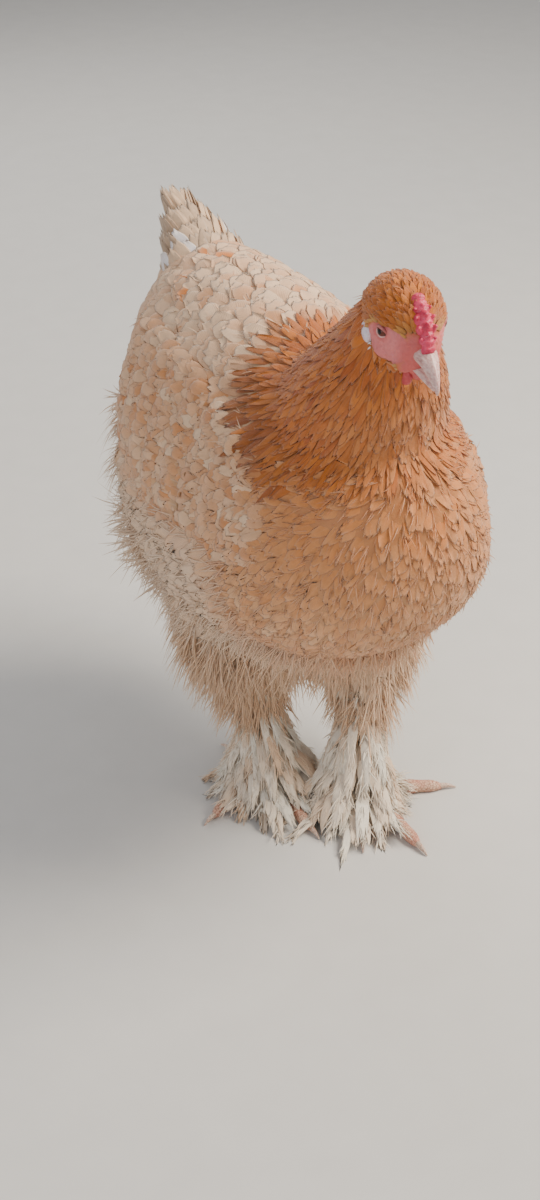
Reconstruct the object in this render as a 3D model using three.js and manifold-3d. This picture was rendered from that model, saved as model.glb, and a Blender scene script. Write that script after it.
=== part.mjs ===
// A buff Brahma hen at life size, standing still with its head up.
// Millimetres, +Z up. The hen faces -Y and its left side is +X.
// The origin ends up under the middle of its box.
import * as THREE from 'three';
import { mergeVertices } from 'three/addons/utils/BufferGeometryUtils.js';
import Module from 'manifold-3d';

const wasm = await Module();
wasm.setup();

// Driving sizes
const GAP = 0.35;
const FLOOR = 0;
const TORSO_WIDEST = 0.38;

// Torso rings from breast to rump: place along Y, half width, top and bottom
const TORSO_RINGS = [
  [-196, 0, 282, 282],
  [-188, 43, 326, 232],
  [-165, 74, 356, 196],
  [-124, 96, 376, 166],
  [-72, 107, 389, 144],
  [-12, 110, 396, 128],
  [48, 107, 399, 124],
  [98, 95, 398, 142],
  [134, 70, 394, 184],
  [156, 41, 386, 240],
  [166, 0, 334, 334],
];

// Neck from its foot inside the breast to the nape: centre, half width and half depth
const NECK_RINGS = [
  [0, -84, 322, 68, 70],
  [-2, -112, 356, 65, 64],
  [-6, -136, 392, 53, 52],
  [-9, -152, 422, 39, 38],
  [-12, -165, 449, 27, 25],
];

// Head in its own frame, with the eyes' line at the origin: place, half width, top and bottom
const HEAD_PLACE = [-13, -179, 451];
const HEAD_YAW = -8;
const HEAD_NOD = 10;
const HEAD_WIDEST = 0.5;
const HEAD_RINGS = [
  [32, 0, -4, -4],
  [27, 15, 14, -18],
  [14, 23, 25, -27],
  [-2, 24.5, 28, -29],
  [-16, 20.5, 24, -27],
  [-27, 14.5, 15, -22],
  [-34, 9, 7, -16],
  [-37, 0, -4, -4],
];
const BEAK_UPPER = [
  [0, -30, -3, 7.6, 6],
  [0, -38, -3.5, 6.6, 5.6],
  [0, -46, -6, 4.8, 4.4],
  [0, -53, -10.5, 2.8, 3],
  [0, -57, -16, 1, 1.1],
];
const BEAK_LOWER = [
  [0, -29, -13.5, 6.4, 3.4],
  [0, -39, -13.8, 5, 2.8],
  [0, -47, -14.6, 3, 2],
  [0, -52, -15.6, 1.2, 1],
];
const EYE_RADIUS = 5.4;
const EYE_PLACE = [18.2, -10, 3];
const LID_THICK = 1.25;
const EAR_PLACE = [22.5, 6, -7];
const EAR_SIZE = [3.6, 6, 8];
const EAR_CUP_SIZE = [2.2, 2.6, 2.4];
const EAR_CUP_OFF = [3.8, -1, 3.4];
const WATTLE_PLACE = [5.6, -24, -26];
const WATTLE_SIZE = [2.4, 6, 8.5];
const NOSTRIL_PLACE = [5.4, -40, -2.6];
const NOSTRIL_SIZE = [1.6, 2.4, 1.1];

// Pea comb: three rows of bulbs from the brow down to the bill
const COMB_BULBS = 5;
const COMB_START = [0, -14, 26];
const COMB_END = [0, -36, 4];
const COMB_BOW = 5;
const COMB_ROW = 4.2;
const COMB_BULB = 4;
const COMB_SIDE_SHARE = 0.78;

// Wing as a shield on the side of the torso: reach along the torso and round it, in shares and degrees
const WING_SPAN = [0.25, 0.93];
const WING_TOP = [38, 52, 34];
const WING_BOTTOM = [4, 10, 26];

// Tail: a short raised tent of feathers
const TAIL_RINGS = [
  [0, 112, 350, 48, 36],
  [0, 142, 372, 38, 30],
  [0, 168, 392, 24, 20],
  [0, 188, 409, 9, 7],
];

// Legs: the thighs' fluff, the shanks and where each foot stands
const FEET = {
  left: { side: 1, foot: [28, -75], hip: [54, -32], turn: 4 },
  right: { side: -1, foot: [-33, -21], hip: [-54, -4], turn: 3 },
};
const THIGH_TOP = 196;
const THIGH_RINGS = [
  { down: 0, inX: 0, inY: 0, size: [50, 56] },
  { down: 0.35, inX: 0.2, inY: 0.1, size: [47, 52] },
  { down: 0.7, inX: 0.5, inY: 0.5, size: [37, 40] },
  { down: 1, inX: 0.85, inY: 0.75, size: [25, 26] },
];
const HOCK = 96;
const HOCK_WIDE = 22;
const SHANK_WIDE = 15;
const ANKLE_HIGH = 15;
const TOES = [
  { name: 'middle', angle: 0, long: 74, thick: 7.6 },
  { name: 'inner', angle: -33, long: 58, thick: 7 },
  { name: 'outer', angle: 66, long: 60, thick: 7 },
  { name: 'hind', angle: 174, long: 42, thick: 6.4 },
];
const CLAW_LONG = 14;
const SOLE = 0.4;

// Feathers are thin vanes: thickness at root and tip, how deep a root is sunk and how fast a vane lifts
const VANE_THICK = [1.5, 0.8];
const VANE_SINK = 2.6;
const VANE_LIFT = 0.9;
const VANE_RISE = 0.1;
const VANE_STEPS = 3;
const VANE_ROLL = 6;
const POINTED = [0.62, 1, 0.84, 0.2];
const ROUNDED = [0.6, 0.96, 1, 0.42];
const SEED = 20;

// Hackle from the nape down: place along the neck, how many, length, and overlap with its neighbours
const NECK_CORE = 0.9;
const HACKLE_TIERS = [
  { at: 0.9, count: 7, long: 40, overlap: 1.3 },
  { at: 0.68, count: 10, long: 50, overlap: 1.3 },
  { at: 0.46, count: 13, long: 60, overlap: 1.28 },
  { at: 0.24, count: 15, long: 62, overlap: 1.28 },
];

// Wing tiers: place of the roots along the shield, lowest and highest place across it, how many and their size
const SHIELD_THICK = 4.5;
const SHIELD_EDGE = 1.6;
const SHIELD_SUNK = 3;
const WING_DIP = 0.14;
const WING_RISE = 0.06;
const WING_TIERS = [
  { along: 0.56, across: [-0.8, 0.66], count: 5, long: 84, wide: 23, outline: ROUNDED },
  { along: 0.36, across: [-0.78, 0.7], count: 5, long: 72, wide: 24, outline: ROUNDED },
  { along: 0.15, across: [-0.66, 0.66], count: 4, long: 66, wide: 24, outline: ROUNDED },
  { along: 0.48, across: [-0.94, -0.8], count: 2, long: 108, wide: 16, outline: POINTED },
];

// Tail tiers: place along the tail, from and to round it, how many a side, length, width and spread
const TAIL_CORE = 0.8;
const TAIL_REACH = 0.7;
const TAIL_TIERS = [
  { at: 0.5, round: [-16, 78], count: 5, long: 47, wide: 15, spread: 0.02 },
  { at: 0.24, round: [-30, 74], count: 4, long: 46, wide: 22, spread: 0.05 },
  { at: 0.04, round: [-26, 66], count: 3, long: 45, wide: 30, spread: 0.09 },
];
const TAIL_WAY = [0, 0.8, 0.6];

// Foot feathering: height of the roots, how many, turn from the outer side, reach, where the tips end, width
const BOOT_TIERS = [
  { high: 86, count: 3, turn: [-58, 66], reach: 25, tip: 48, wide: 32 },
  { high: 60, count: 4, turn: [-74, 84], reach: 37, tip: 22, wide: 31 },
  { high: 32, count: 6, turn: [-84, 100], reach: 52, tip: 0, wide: 25 },
];
const BOOT_SWELL = 7;
const BOOT_REACH = 54;
const TOE_CLEAR = 1.3;

// Colours as the feathers and skin show them
const FINISH = {
  buff: { color: 0xc99766, roughness: 0.85 },
  tail: { color: 0xa98a6c, roughness: 0.8 },
  gold: { color: 0xc07f35, roughness: 0.8 },
  cream: { color: 0xe4d3b8, roughness: 0.9 },
  face: { color: 0xcf837b, roughness: 0.6 },
  comb: { color: 0xdf3f66, roughness: 0.55 },
  lobe: { color: 0xe0d6dc, roughness: 0.6 },
  horn: { color: 0xd9b0a6, roughness: 0.45 },
  toe: { color: 0xdcb095, roughness: 0.6 },
  eye: { color: 0x451912, roughness: 0.1 },
};

const vec = (list) => new THREE.Vector3(...list);
const radians = THREE.MathUtils.degToRad;
const mix = THREE.MathUtils.lerp;

// A smooth run of values through evenly spaced rows
function through(rows) {
  const shares = rows.map((row, i) => i / (rows.length - 1));
  const run = new THREE.CubicInterpolant(shares, rows.flat(), rows[0].length);
  return (t) => Array.from(run.evaluate(THREE.MathUtils.clamp(t, 0, 1)));
}

// A round form gives a point and a normal for a share along it and an angle round it
function form(point) {
  const step = 0.004;
  const normal = (t, a) => {
    const low = Math.max(t - step, 0);
    const along = point(Math.min(t + step, 1), a).sub(point(low, a));
    const round = point(t, a + step).sub(point(t, a - step));
    return along.cross(round).normalize();
  };
  return { point, normal };
}

// Rings that stand across Y, each an egg with its widest place a little under its middle
function upright(rows, widest) {
  const at = through(rows);
  return form((t, a) => {
    const [y, wide, top, bottom] = at(t);
    const middle = mix(bottom, top, widest);
    const tall = Math.sin(a) > 0 ? top - middle : middle - bottom;
    return new THREE.Vector3(wide * Math.cos(a), y, middle + tall * Math.sin(a));
  });
}

// Rings square to a path that bends in the plane square to X
function sweep(rows) {
  const at = through(rows);
  const side = new THREE.Vector3(1, 0, 0);
  return form((t, a) => {
    const low = vec(at(Math.max(t - 0.01, 0)).slice(0, 3));
    const high = vec(at(Math.min(t + 0.01, 1)).slice(0, 3));
    const along = high.sub(low).normalize();
    const over = new THREE.Vector3().crossVectors(side, along).normalize();
    const across = new THREE.Vector3().crossVectors(along, over);
    const [x, y, z, wide, deep] = at(t);
    const centre = new THREE.Vector3(x, y, z);
    centre.addScaledVector(across, wide * Math.cos(a));
    return centre.addScaledVector(over, deep * Math.sin(a));
  });
}

// A closed mesh over rings of points; a ring of one point is a pole, and an open end gets a flat cap
function skin(rings) {
  const points = rings.flat();
  const starts = [];
  let count = 0;
  for (const ring of rings) {
    starts.push(count);
    count += ring.length;
  }
  const faces = [];
  for (let i = 0; i + 1 < rings.length; i += 1) {
    const sides = Math.max(rings[i].length, rings[i + 1].length);
    for (let j = 0; j < sides; j += 1) {
      const next = (j + 1) % sides;
      const a = starts[i] + (rings[i].length > 1 ? j : 0);
      const b = starts[i] + (rings[i].length > 1 ? next : 0);
      const c = starts[i + 1] + (rings[i + 1].length > 1 ? next : 0);
      const d = starts[i + 1] + (rings[i + 1].length > 1 ? j : 0);
      if (a !== b) faces.push(a, b, c);
      if (c !== d) faces.push(a, c, d);
    }
  }
  const last = rings.length - 1;
  for (let j = 1; j + 1 < rings[0].length; j += 1) faces.push(0, j + 1, j);
  for (let j = 1; j + 1 < rings[last].length; j += 1) {
    faces.push(starts[last], starts[last] + j, starts[last] + j + 1);
  }
  return closed(points, faces);
}

// The same faces turned outwards, whichever way round the rings were given
function closed(points, faces) {
  let volume = 0;
  for (let i = 0; i < faces.length; i += 3) {
    const [a, b, c] = [points[faces[i]], points[faces[i + 1]], points[faces[i + 2]]];
    volume += a.dot(new THREE.Vector3().crossVectors(b, c));
  }
  if (volume < 0) faces.reverse();
  const geometry = new THREE.BufferGeometry().setFromPoints(points);
  geometry.setIndex(faces);
  return geometry;
}

// Rings of a round form from its first share to its last, with poles where it closes
function wrap(shape, sides, count, poles = [false, false]) {
  const rings = [];
  for (let i = 0; i <= count; i += 1) {
    const t = i / count;
    const pole = (i === 0 && poles[0]) || (i === count && poles[1]);
    const ring = [];
    for (let j = 0; j < (pole ? 1 : sides); j += 1) ring.push(shape.point(t, (j / sides) * 2 * Math.PI));
    rings.push(ring);
  }
  return skin(rings);
}

function merged(geometry) {
  const bare = geometry.clone();
  for (const name of Object.keys(bare.attributes)) {
    if (name !== 'position') bare.deleteAttribute(name);
  }
  return mergeVertices(bare, 1e-4);
}

function solid(geometry) {
  const bare = merged(geometry);
  const vertProperties = Float32Array.from(bare.attributes.position.array);
  const triVerts = Uint32Array.from(bare.index.array);
  return new wasm.Manifold(new wasm.Mesh({ numProp: 3, vertProperties, triVerts }));
}

// The largest closed body of a solid, as a geometry
function body(shape) {
  const pieces = shape.decompose();
  pieces.sort((a, b) => b.volume() - a.volume());
  const mesh = pieces[0].getMesh();
  const geometry = new THREE.BufferGeometry();
  geometry.setAttribute('position', new THREE.BufferAttribute(mesh.vertProperties, 3));
  geometry.setIndex(new THREE.BufferAttribute(mesh.triVerts, 1));
  return geometry;
}

// The same form with its skin moved out along its normals
function swell(geometry, by = GAP) {
  const grown = merged(geometry);
  grown.computeVertexNormals();
  const { position, normal } = grown.attributes;
  for (let i = 0; i < position.count; i += 1) {
    position.setXYZ(
      i,
      position.getX(i) + by * normal.getX(i),
      position.getY(i) + by * normal.getY(i),
      position.getZ(i) + by * normal.getZ(i),
    );
  }
  return solid(grown);
}

// What lies under the floor is laid flat on it
function flattened(geometry) {
  const { position } = geometry.attributes;
  for (let i = 0; i < position.count; i += 1) {
    position.setZ(i, Math.max(position.getZ(i), FLOOR));
  }
  return geometry;
}

function ellipsoid(size, place, wide = 12, high = 8) {
  return new THREE.SphereGeometry(1, wide, high).scale(...size).translate(...place);
}

// The nearest point of a mesh to a given one, with the mesh's smooth normal there
function surfaceOf(geometry) {
  const bare = merged(geometry);
  bare.computeVertexNormals();
  const { position, normal } = bare.attributes;
  const corners = bare.index.array;
  const faces = [];
  for (let i = 0; i < corners.length; i += 3) {
    const [a, b, c] = corners.slice(i, i + 3);
    const face = new THREE.Triangle().setFromAttributeAndIndices(position, a, b, c);
    const normals = [a, b, c].map((k) => new THREE.Vector3().fromBufferAttribute(normal, k));
    faces.push({ face, normals });
  }
  return (place) => {
    const near = new THREE.Vector3();
    let best = { far: Infinity };
    for (const one of faces) {
      one.face.closestPointToPoint(place, near);
      const far = near.distanceToSquared(place);
      if (far < best.far) best = { far, one, point: near.clone() };
    }
    const { face, normals } = best.one;
    const blended = new THREE.Vector3();
    THREE.Triangle.getInterpolation(best.point, face.a, face.b, face.c, ...normals, blended);
    return { point: best.point, normal: blended.normalize() };
  };
}

// A thin plate along a path, each section four corners, with its two faces split alike
function plate(sections) {
  const faces = [];
  const last = 4 * (sections.length - 1);
  for (let a = 0; a < last; a += 4) {
    const b = a + 4;
    faces.push(a, a + 1, b + 1, a, b + 1, b);
    faces.push(a + 3, b + 2, a + 2, a + 3, b + 3, b + 2);
    faces.push(a + 1, a + 2, b + 2, a + 1, b + 2, b + 1);
    faces.push(a, b, b + 3, a, b + 3, a + 3);
  }
  faces.push(0, 3, 2, 0, 2, 1, last, last + 1, last + 2, last, last + 2, last + 3);
  return closed(sections.flat(), faces);
}

// A vane from its middle line: places, the way each section faces, width, outline and roll about its own line
function vane(places, faceWays, wide, outline, roll) {
  const sections = places.map((place, i) => {
    const before = places[Math.max(i - 1, 0)];
    const after = places[Math.min(i + 1, places.length - 1)];
    const along = after.clone().sub(before).normalize();
    const across = new THREE.Vector3().crossVectors(along, faceWays[i]).normalize();
    across.applyAxisAngle(along, radians(roll));
    const up = new THREE.Vector3().crossVectors(across, along).normalize();
    const share = i / (places.length - 1);
    const half = (wide * outline[i]) / 2;
    const deep = mix(VANE_THICK[0], VANE_THICK[1], share) / 2;
    const corner = (x, z) => place.clone().addScaledVector(across, x).addScaledVector(up, z);
    return [corner(-half, deep), corner(half, deep), corner(half, -deep), corner(-half, -deep)];
  });
  return plate(sections);
}

// A vane that starts in a surface and lies along it, lifting towards its tip and kept clear of it past the root
function lyingVane(surface, { root, heading, long, wide, outline, roll, rise = VANE_RISE }) {
  const places = [];
  const faceWays = [];
  const way = heading.clone();
  const step = long / VANE_STEPS;
  let spot = surface(root);
  for (let i = 0; i <= VANE_STEPS; i += 1) {
    const lift = i === 0 ? -VANE_SINK : rise * step * i + VANE_LIFT;
    places.push(spot.point.clone().addScaledVector(spot.normal, lift));
    faceWays.push(spot.normal.clone());
    way.addScaledVector(spot.normal, -way.dot(spot.normal)).normalize();
    spot = surface(spot.point.clone().addScaledVector(way, step));
  }
  return vane(places, faceWays, wide, outline, roll);
}

// The same small differences each time from feather to feather
function seeded(seed) {
  let state = seed;
  return (low, high) => {
    state = (state * 16807) % 2147483647;
    return mix(low, high, state / 2147483647);
  };
}
const vary = seeded(SEED);

const torso = upright(TORSO_RINGS, TORSO_WIDEST);
const neck = sweep(NECK_RINGS);
const head = upright(HEAD_RINGS, HEAD_WIDEST);

// Turns what is built in the head's own frame into its place on the neck
const headFrame = new THREE.Matrix4()
  .makeTranslation(...HEAD_PLACE)
  .multiply(new THREE.Matrix4().makeRotationZ(radians(HEAD_YAW)))
  .multiply(new THREE.Matrix4().makeRotationX(radians(HEAD_NOD)));
const onHead = (geometry) => merged(geometry).applyMatrix4(headFrame);

const tailCore = sweep(TAIL_RINGS.map(([x, y, z, wide, deep], i) => {
  const [, startY, startZ] = TAIL_RINGS[0];
  const shareY = mix(startY, y, i > 2 ? TAIL_REACH : 1);
  const shareZ = mix(startZ, z, i > 2 ? TAIL_REACH : 1);
  return [x, shareY, shareZ, wide * TAIL_CORE, deep * TAIL_CORE];
}));
const torsoGeometry = wrap(torso, 22, 16, [true, true]);
const neckCore = sweep(NECK_RINGS.map(([x, y, z, wide, deep]) => (
  [x, y, z, wide * NECK_CORE, deep * NECK_CORE]
)));
const neckGeometry = wrap(neckCore, 18, 6);
const headGeometry = onHead(wrap(head, 14, 11, [true, true]));

// Combs, eyes, ears, wattles and bill, each from its named place on the head
function mirrored(place, side) {
  return [place[0] * side, place[1], place[2]];
}

function eyeball(side) {
  return onHead(ellipsoid([EYE_RADIUS, EYE_RADIUS, EYE_RADIUS], mirrored(EYE_PLACE, side), 12, 8));
}

function lids(side) {
  const ring = new THREE.TorusGeometry(EYE_RADIUS * 0.86, LID_THICK, 4, 10);
  ring.scale(1.12, 0.86, 1.2).rotateY(Math.PI / 2);
  const [x, y, z] = mirrored(EYE_PLACE, side);
  return onHead(ring.translate(x + side * EYE_RADIUS * 0.46, y, z));
}

function ear(side) {
  return onHead(ellipsoid(EAR_SIZE, mirrored(EAR_PLACE, side), 10, 7));
}

function earCup(side) {
  const place = vec(mirrored(EAR_PLACE, side)).add(vec(mirrored(EAR_CUP_OFF, side)));
  return onHead(ellipsoid(EAR_CUP_SIZE, place.toArray(), 7, 5));
}

function wattle(side) {
  const drop = ellipsoid(WATTLE_SIZE, [0, 0, 0], 10, 7);
  drop.rotateX(radians(18)).rotateY(radians(-12 * side));
  return onHead(drop.translate(...mirrored(WATTLE_PLACE, side)));
}

function combBulbs() {
  const bulbs = [];
  for (let row = -1; row <= 1; row += 1) {
    for (let i = 0; i < COMB_BULBS; i += 1) {
      const t = i / (COMB_BULBS - 1);
      const place = vec(COMB_START).lerp(vec(COMB_END), t);
      const bow = COMB_BOW * Math.sin(Math.PI * t);
      place.x = row * COMB_ROW * (0.7 + 0.3 * Math.sin(Math.PI * t));
      place.y -= bow * 0.6;
      place.z += bow * 0.7 - Math.abs(row) * 1.6;
      const size = COMB_BULB * (row === 0 ? 1 : COMB_SIDE_SHARE) * mix(0.86, 1, Math.sin(Math.PI * t));
      bulbs.push(onHead(ellipsoid([size * 0.8, size, size], place.toArray(), 7, 5)));
    }
  }
  return bulbs;
}

function nostril(side) {
  return onHead(ellipsoid(NOSTRIL_SIZE, mirrored(NOSTRIL_PLACE, side), 6, 4));
}

const eyes = { left: eyeball(1), right: eyeball(-1) };
const ears = { left: ear(1), right: ear(-1) };
const wattles = { left: wattle(1), right: wattle(-1) };
const billUpper = onHead(wrap(sweep(BEAK_UPPER), 10, 6));
const billLower = onHead(wrap(sweep(BEAK_LOWER), 8, 5));

const wingTop = through(WING_TOP.map((degrees) => [degrees]));
const wingBottom = through(WING_BOTTOM.map((degrees) => [degrees]));

// A place on the wing's patch of the torso: share along it, and from -1 at its lower edge to 1 at its upper one
function wingSpot(side, along, across) {
  const t = mix(WING_SPAN[0], WING_SPAN[1], along);
  const rounding = Math.sqrt(Math.max(1 - (2 * along - 1) ** 4, 0.02));
  const middle = (wingTop(along)[0] + wingBottom(along)[0]) / 2;
  const half = ((wingTop(along)[0] - wingBottom(along)[0]) / 2) * rounding;
  const a = radians(side > 0 ? middle + across * half : 180 - middle - across * half);
  return { point: torso.point(t, a), normal: torso.normal(t, a), rounding };
}

// The wing's shield has a rounded outer face that thins to its edge
function wingShield(side) {
  const rows = 8;
  const columns = 6;
  const rings = [];
  for (let i = 0; i <= rows; i += 1) {
    const outer = [];
    const inner = [];
    for (let j = 0; j <= columns; j += 1) {
      const across = (2 * j) / columns - 1;
      const { point, normal, rounding } = wingSpot(side, i / rows, across);
      const crown = Math.sqrt(Math.max(1 - across * across, 0)) * rounding;
      outer.push(point.clone().addScaledVector(normal, mix(SHIELD_EDGE, SHIELD_THICK, crown)));
      inner.unshift(point.clone().addScaledVector(normal, -SHIELD_SUNK));
    }
    rings.push([...outer, ...inner]);
  }
  return skin(rings);
}

// The wing's feathers, the hindmost tier first, each lying back over the one behind
function wingVanes(side, surface) {
  const vanes = [];
  for (const { along, across, count, long, wide, outline } of WING_TIERS) {
    for (let i = 0; i < count; i += 1) {
      const v = mix(across[0], across[1], i / (count - 1));
      const { point } = wingSpot(side, along, v);
      const heading = wingSpot(side, along + 0.05, v).point.sub(point).normalize();
      heading.z -= WING_DIP;
      vanes.push(lyingVane(surface, {
        root: point,
        heading: heading.normalize(),
        long: long * vary(0.94, 1.06),
        wide,
        outline,
        roll: VANE_ROLL * side,
        rise: WING_RISE,
      }));
    }
  }
  return vanes;
}

// The hackle's feathers hang from the neck and lie on over the shoulders and breast
function hackleVanes(surface) {
  const vanes = [];
  for (const { at, count, long, overlap } of HACKLE_TIERS) {
    const girth = neckCore.point(at, 0).distanceTo(neckCore.point(at, Math.PI)) * Math.PI;
    for (let i = 0; i < count; i += 1) {
      const a = ((i + vary(-0.12, 0.12) + at * 3) / count) * 2 * Math.PI;
      const root = neckCore.point(at, a);
      const hidden = torsoSurface(root);
      if (root.clone().sub(hidden.point).dot(hidden.normal) < 2 * VANE_SINK) continue;
      vanes.push(lyingVane(surface, {
        root,
        heading: neckCore.point(at - 0.06, a).sub(root).normalize(),
        long: long * vary(0.92, 1.08),
        wide: (girth / count) * overlap,
        outline: POINTED,
        roll: VANE_ROLL,
      }));
    }
  }
  return vanes;
}

// The tail's feathers spread from its core as a tent, with its coverts round their roots
function tailVanes() {
  const vanes = [];
  for (const { at, round, count, long, wide, spread } of TAIL_TIERS) {
    for (const side of [1, -1]) {
      for (let i = 0; i < count; i += 1) {
        const turn = mix(round[0], round[1], i / (count - 1));
        const a = radians(side > 0 ? turn : 180 - turn);
        const face = tailCore.normal(at, a);
        const root = tailCore.point(at, a).addScaledVector(face, -VANE_SINK);
        const way = vec(TAIL_WAY).addScaledVector(face, spread).normalize();
        const reach = long * vary(0.93, 1.05);
        const places = POINTED.map((share, k) => root.clone().addScaledVector(way, (reach * k) / VANE_STEPS));
        vanes.push(vane(places, places.map(() => face), wide, ROUNDED, -VANE_ROLL * side));
      }
    }
  }
  return vanes;
}

// A leg's pieces from its named foot and hip
function thigh(leg) {
  const [x, y] = leg.foot;
  const [hipX, hipY] = leg.hip;
  const rows = THIGH_RINGS.map(({ down, inX, inY, size }) => (
    [mix(hipX, x, inX), mix(hipY, y, inY), mix(THIGH_TOP, HOCK, down), ...size]
  ));
  return wrap(sweep(rows), 14, 6);
}

// The middle of the lower leg at a height over the floor
function legAxis(leg, high) {
  const share = THREE.MathUtils.clamp((high - ANKLE_HIGH) / (HOCK - ANKLE_HIGH), 0, 1);
  const x = mix(leg.foot[0], leg.hip[0], 0.15 * share);
  const y = mix(leg.foot[1], leg.hip[1], 0.28 * share);
  return new THREE.Vector3(x, y, high);
}

function shank(leg) {
  const [x, y] = leg.foot;
  const [hipX, hipY] = leg.hip;
  return flattened(wrap(
    sweep([
      [mix(hipX, x, 0.85), mix(hipY, y, 0.72), HOCK + 14, HOCK_WIDE, HOCK_WIDE],
      [mix(hipX, x, 0.93), mix(hipY, y, 0.84), 74, SHANK_WIDE + 3, SHANK_WIDE + 3],
      [x, mix(hipY, y, 0.95), 44, SHANK_WIDE, SHANK_WIDE],
      [x, y, ANKLE_HIGH, 13, 14],
      [x, y, FLOOR - 6, 9, 10],
    ]),
    12,
    6,
  ));
}

function toe(leg, { angle, long, thick }) {
  const pad = (place, share) => [0, place, thick * share - SOLE, thick * share, thick * share];
  const rows = [
    pad(-4, 1),
    pad(-0.3 * long, 0.86),
    pad(-0.62 * long, 0.76),
    pad(-0.9 * long, 0.62),
    pad(-long, 0.48),
    [0, -long - 0.55 * CLAW_LONG, 3.6, thick * 0.26, thick * 0.34],
    [0, -long - CLAW_LONG, 1.2, 0.6, 0.8],
  ];
  const geometry = wrap(sweep(rows), 8, 9);
  geometry.rotateZ(radians(leg.turn + angle * leg.side));
  return flattened(geometry.translate(leg.foot[0], leg.foot[1], FLOOR));
}

// The highest that a toe reaches under a place, or nothing where it is clear of them all
function toeTop(leg, place, half) {
  let top = 0;
  const spot = new THREE.Vector3(place.x - leg.foot[0], place.y - leg.foot[1], 0);
  for (const { angle, long, thick } of TOES) {
    const turn = radians(leg.turn + angle * leg.side);
    const tip = new THREE.Vector3(Math.sin(turn), -Math.cos(turn), 0).multiplyScalar(long + CLAW_LONG);
    const line = new THREE.Line3(new THREE.Vector3(), tip);
    const near = line.closestPointToPoint(spot, true, new THREE.Vector3());
    const share = near.length() / (long + CLAW_LONG);
    if (near.distanceTo(spot) < half + thick) top = Math.max(top, mix(2.25, 1.1, share) * thick);
  }
  return top;
}

// The foot's feathers hang from the shank's outer side and fan out over the toes to the floor
function bootVanes(leg) {
  const vanes = [];
  for (const { high, count, turn, reach, tip, wide } of BOOT_TIERS) {
    for (let i = 0; i < count; i += 1) {
      const round = radians(mix(turn[0], turn[1], i / (count - 1)) + vary(-4, 4));
      const out = new THREE.Vector3(leg.side * Math.cos(round), Math.sin(round), 0);
      const lateral = new THREE.Vector3(-out.y, out.x, 0);
      const root = legAxis(leg, high).addScaledVector(out, SHANK_WIDE - 2 * VANE_SINK);
      const end = new THREE.Vector3(leg.foot[0], leg.foot[1], tip);
      end.addScaledVector(out, reach * vary(0.92, 1.08));
      const places = [];
      for (let k = 0; k <= VANE_STEPS; k += 1) {
        const share = k / VANE_STEPS;
        const place = root.clone().lerp(end, share);
        place.addScaledVector(out, BOOT_SWELL * 4 * share * (1 - share) * (reach / BOOT_REACH));
        const least = k === 0 ? 0 : toeTop(leg, place, wide / 2);
        const floor = least > 0 ? least + TOE_CLEAR : mix(VANE_THICK[0], VANE_THICK[1], share) / 2;
        place.z = Math.max(place.z, floor);
        places.push(place);
      }
      const faceWays = places.map((place, k) => {
        const after = places[Math.min(k + 1, VANE_STEPS)];
        const before = places[Math.max(k - 1, 0)];
        return new THREE.Vector3().crossVectors(after.clone().sub(before), lateral).normalize();
      });
      vanes.push(flattened(vane(places, faceWays, wide, ROUNDED, VANE_ROLL * leg.side)));
    }
  }
  return vanes;
}

const group = new THREE.Group();

function add(name, shape, finish) {
  const material = new THREE.MeshStandardMaterial({ ...FINISH[finish], metalness: 0 });
  const mesh = new THREE.Mesh(body(shape), material);
  mesh.name = name;
  group.add(mesh);
}

const union = (solids) => wasm.Manifold.union(solids);
const torsoSolid = solid(torsoGeometry);
const torsoGrown = swell(torsoGeometry);
const torsoSurface = surfaceOf(torsoGeometry);
const headGrown = swell(headGeometry);
const neckGrown = swell(neckGeometry);
const thighs = { left: thigh(FEET.left), right: thigh(FEET.right) };
const thighsGrown = swell(thighs.left).add(swell(thighs.right));
const shields = { left: wingShield(1), right: wingShield(-1) };

// Feathers are laid over everything that is under them, so that no feather passes through it
const clothed = union([torsoSolid, solid(shields.left), solid(shields.right)]);
const wingSurface = surfaceOf(body(clothed));
const hackleSurface = surfaceOf(body(clothed.add(solid(neckGeometry))));
const hackle = hackleVanes(hackleSurface);
const hackleGrown = union(hackle.map((one) => swell(one)));

let headSolid = solid(headGeometry);
for (const [name, side] of [['left', 1], ['right', -1]]) {
  headSolid = headSolid.add(solid(lids(side)));
  headSolid = headSolid.subtract(swell(eyes[name]));
}
for (const geometry of [ears.left, ears.right, billUpper, billLower]) {
  headSolid = headSolid.subtract(swell(geometry));
}
const faceParts = [ears.left, ears.right, wattles.left, wattles.right];
const faceGrown = union([headGrown, ...faceParts.map((one) => swell(one))]);
const neckSolid = union([solid(neckGeometry), ...hackle.map((one) => solid(one))]);

add('torso', torsoSolid, 'buff');
add('neck', neckSolid.subtract(torsoGrown).subtract(faceGrown), 'gold');
add('head', headSolid, 'face');

let combSolid = union(combBulbs().map((bulb) => solid(bulb)));
combSolid = combSolid.subtract(headGrown).subtract(swell(billUpper));
add('comb', combSolid, 'comb');

let upper = solid(billUpper).subtract(swell(billLower));
upper = upper.subtract(solid(nostril(1))).subtract(solid(nostril(-1)));
add('beak_upper', upper, 'horn');
add('beak_lower', solid(billLower), 'horn');

const wingClear = union([torsoGrown, neckGrown, thighsGrown, hackleGrown]);
const wings = {};
for (const [name, side] of [['left', 1], ['right', -1]]) {
  add(`eye_${name}`, solid(eyes[name]), 'eye');
  add(`ear_${name}`, solid(ears[name]).subtract(solid(earCup(side))), 'lobe');
  const hanging = solid(wattles[name]).subtract(headGrown).subtract(swell(billLower));
  add(`wattle_${name}`, hanging, 'comb');
  wings[name] = wingVanes(side, wingSurface);
  const feathered = union([solid(shields[name]), ...wings[name].map((one) => solid(one))]);
  add(`wing_${name}`, feathered.subtract(wingClear), 'buff');
}

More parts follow.
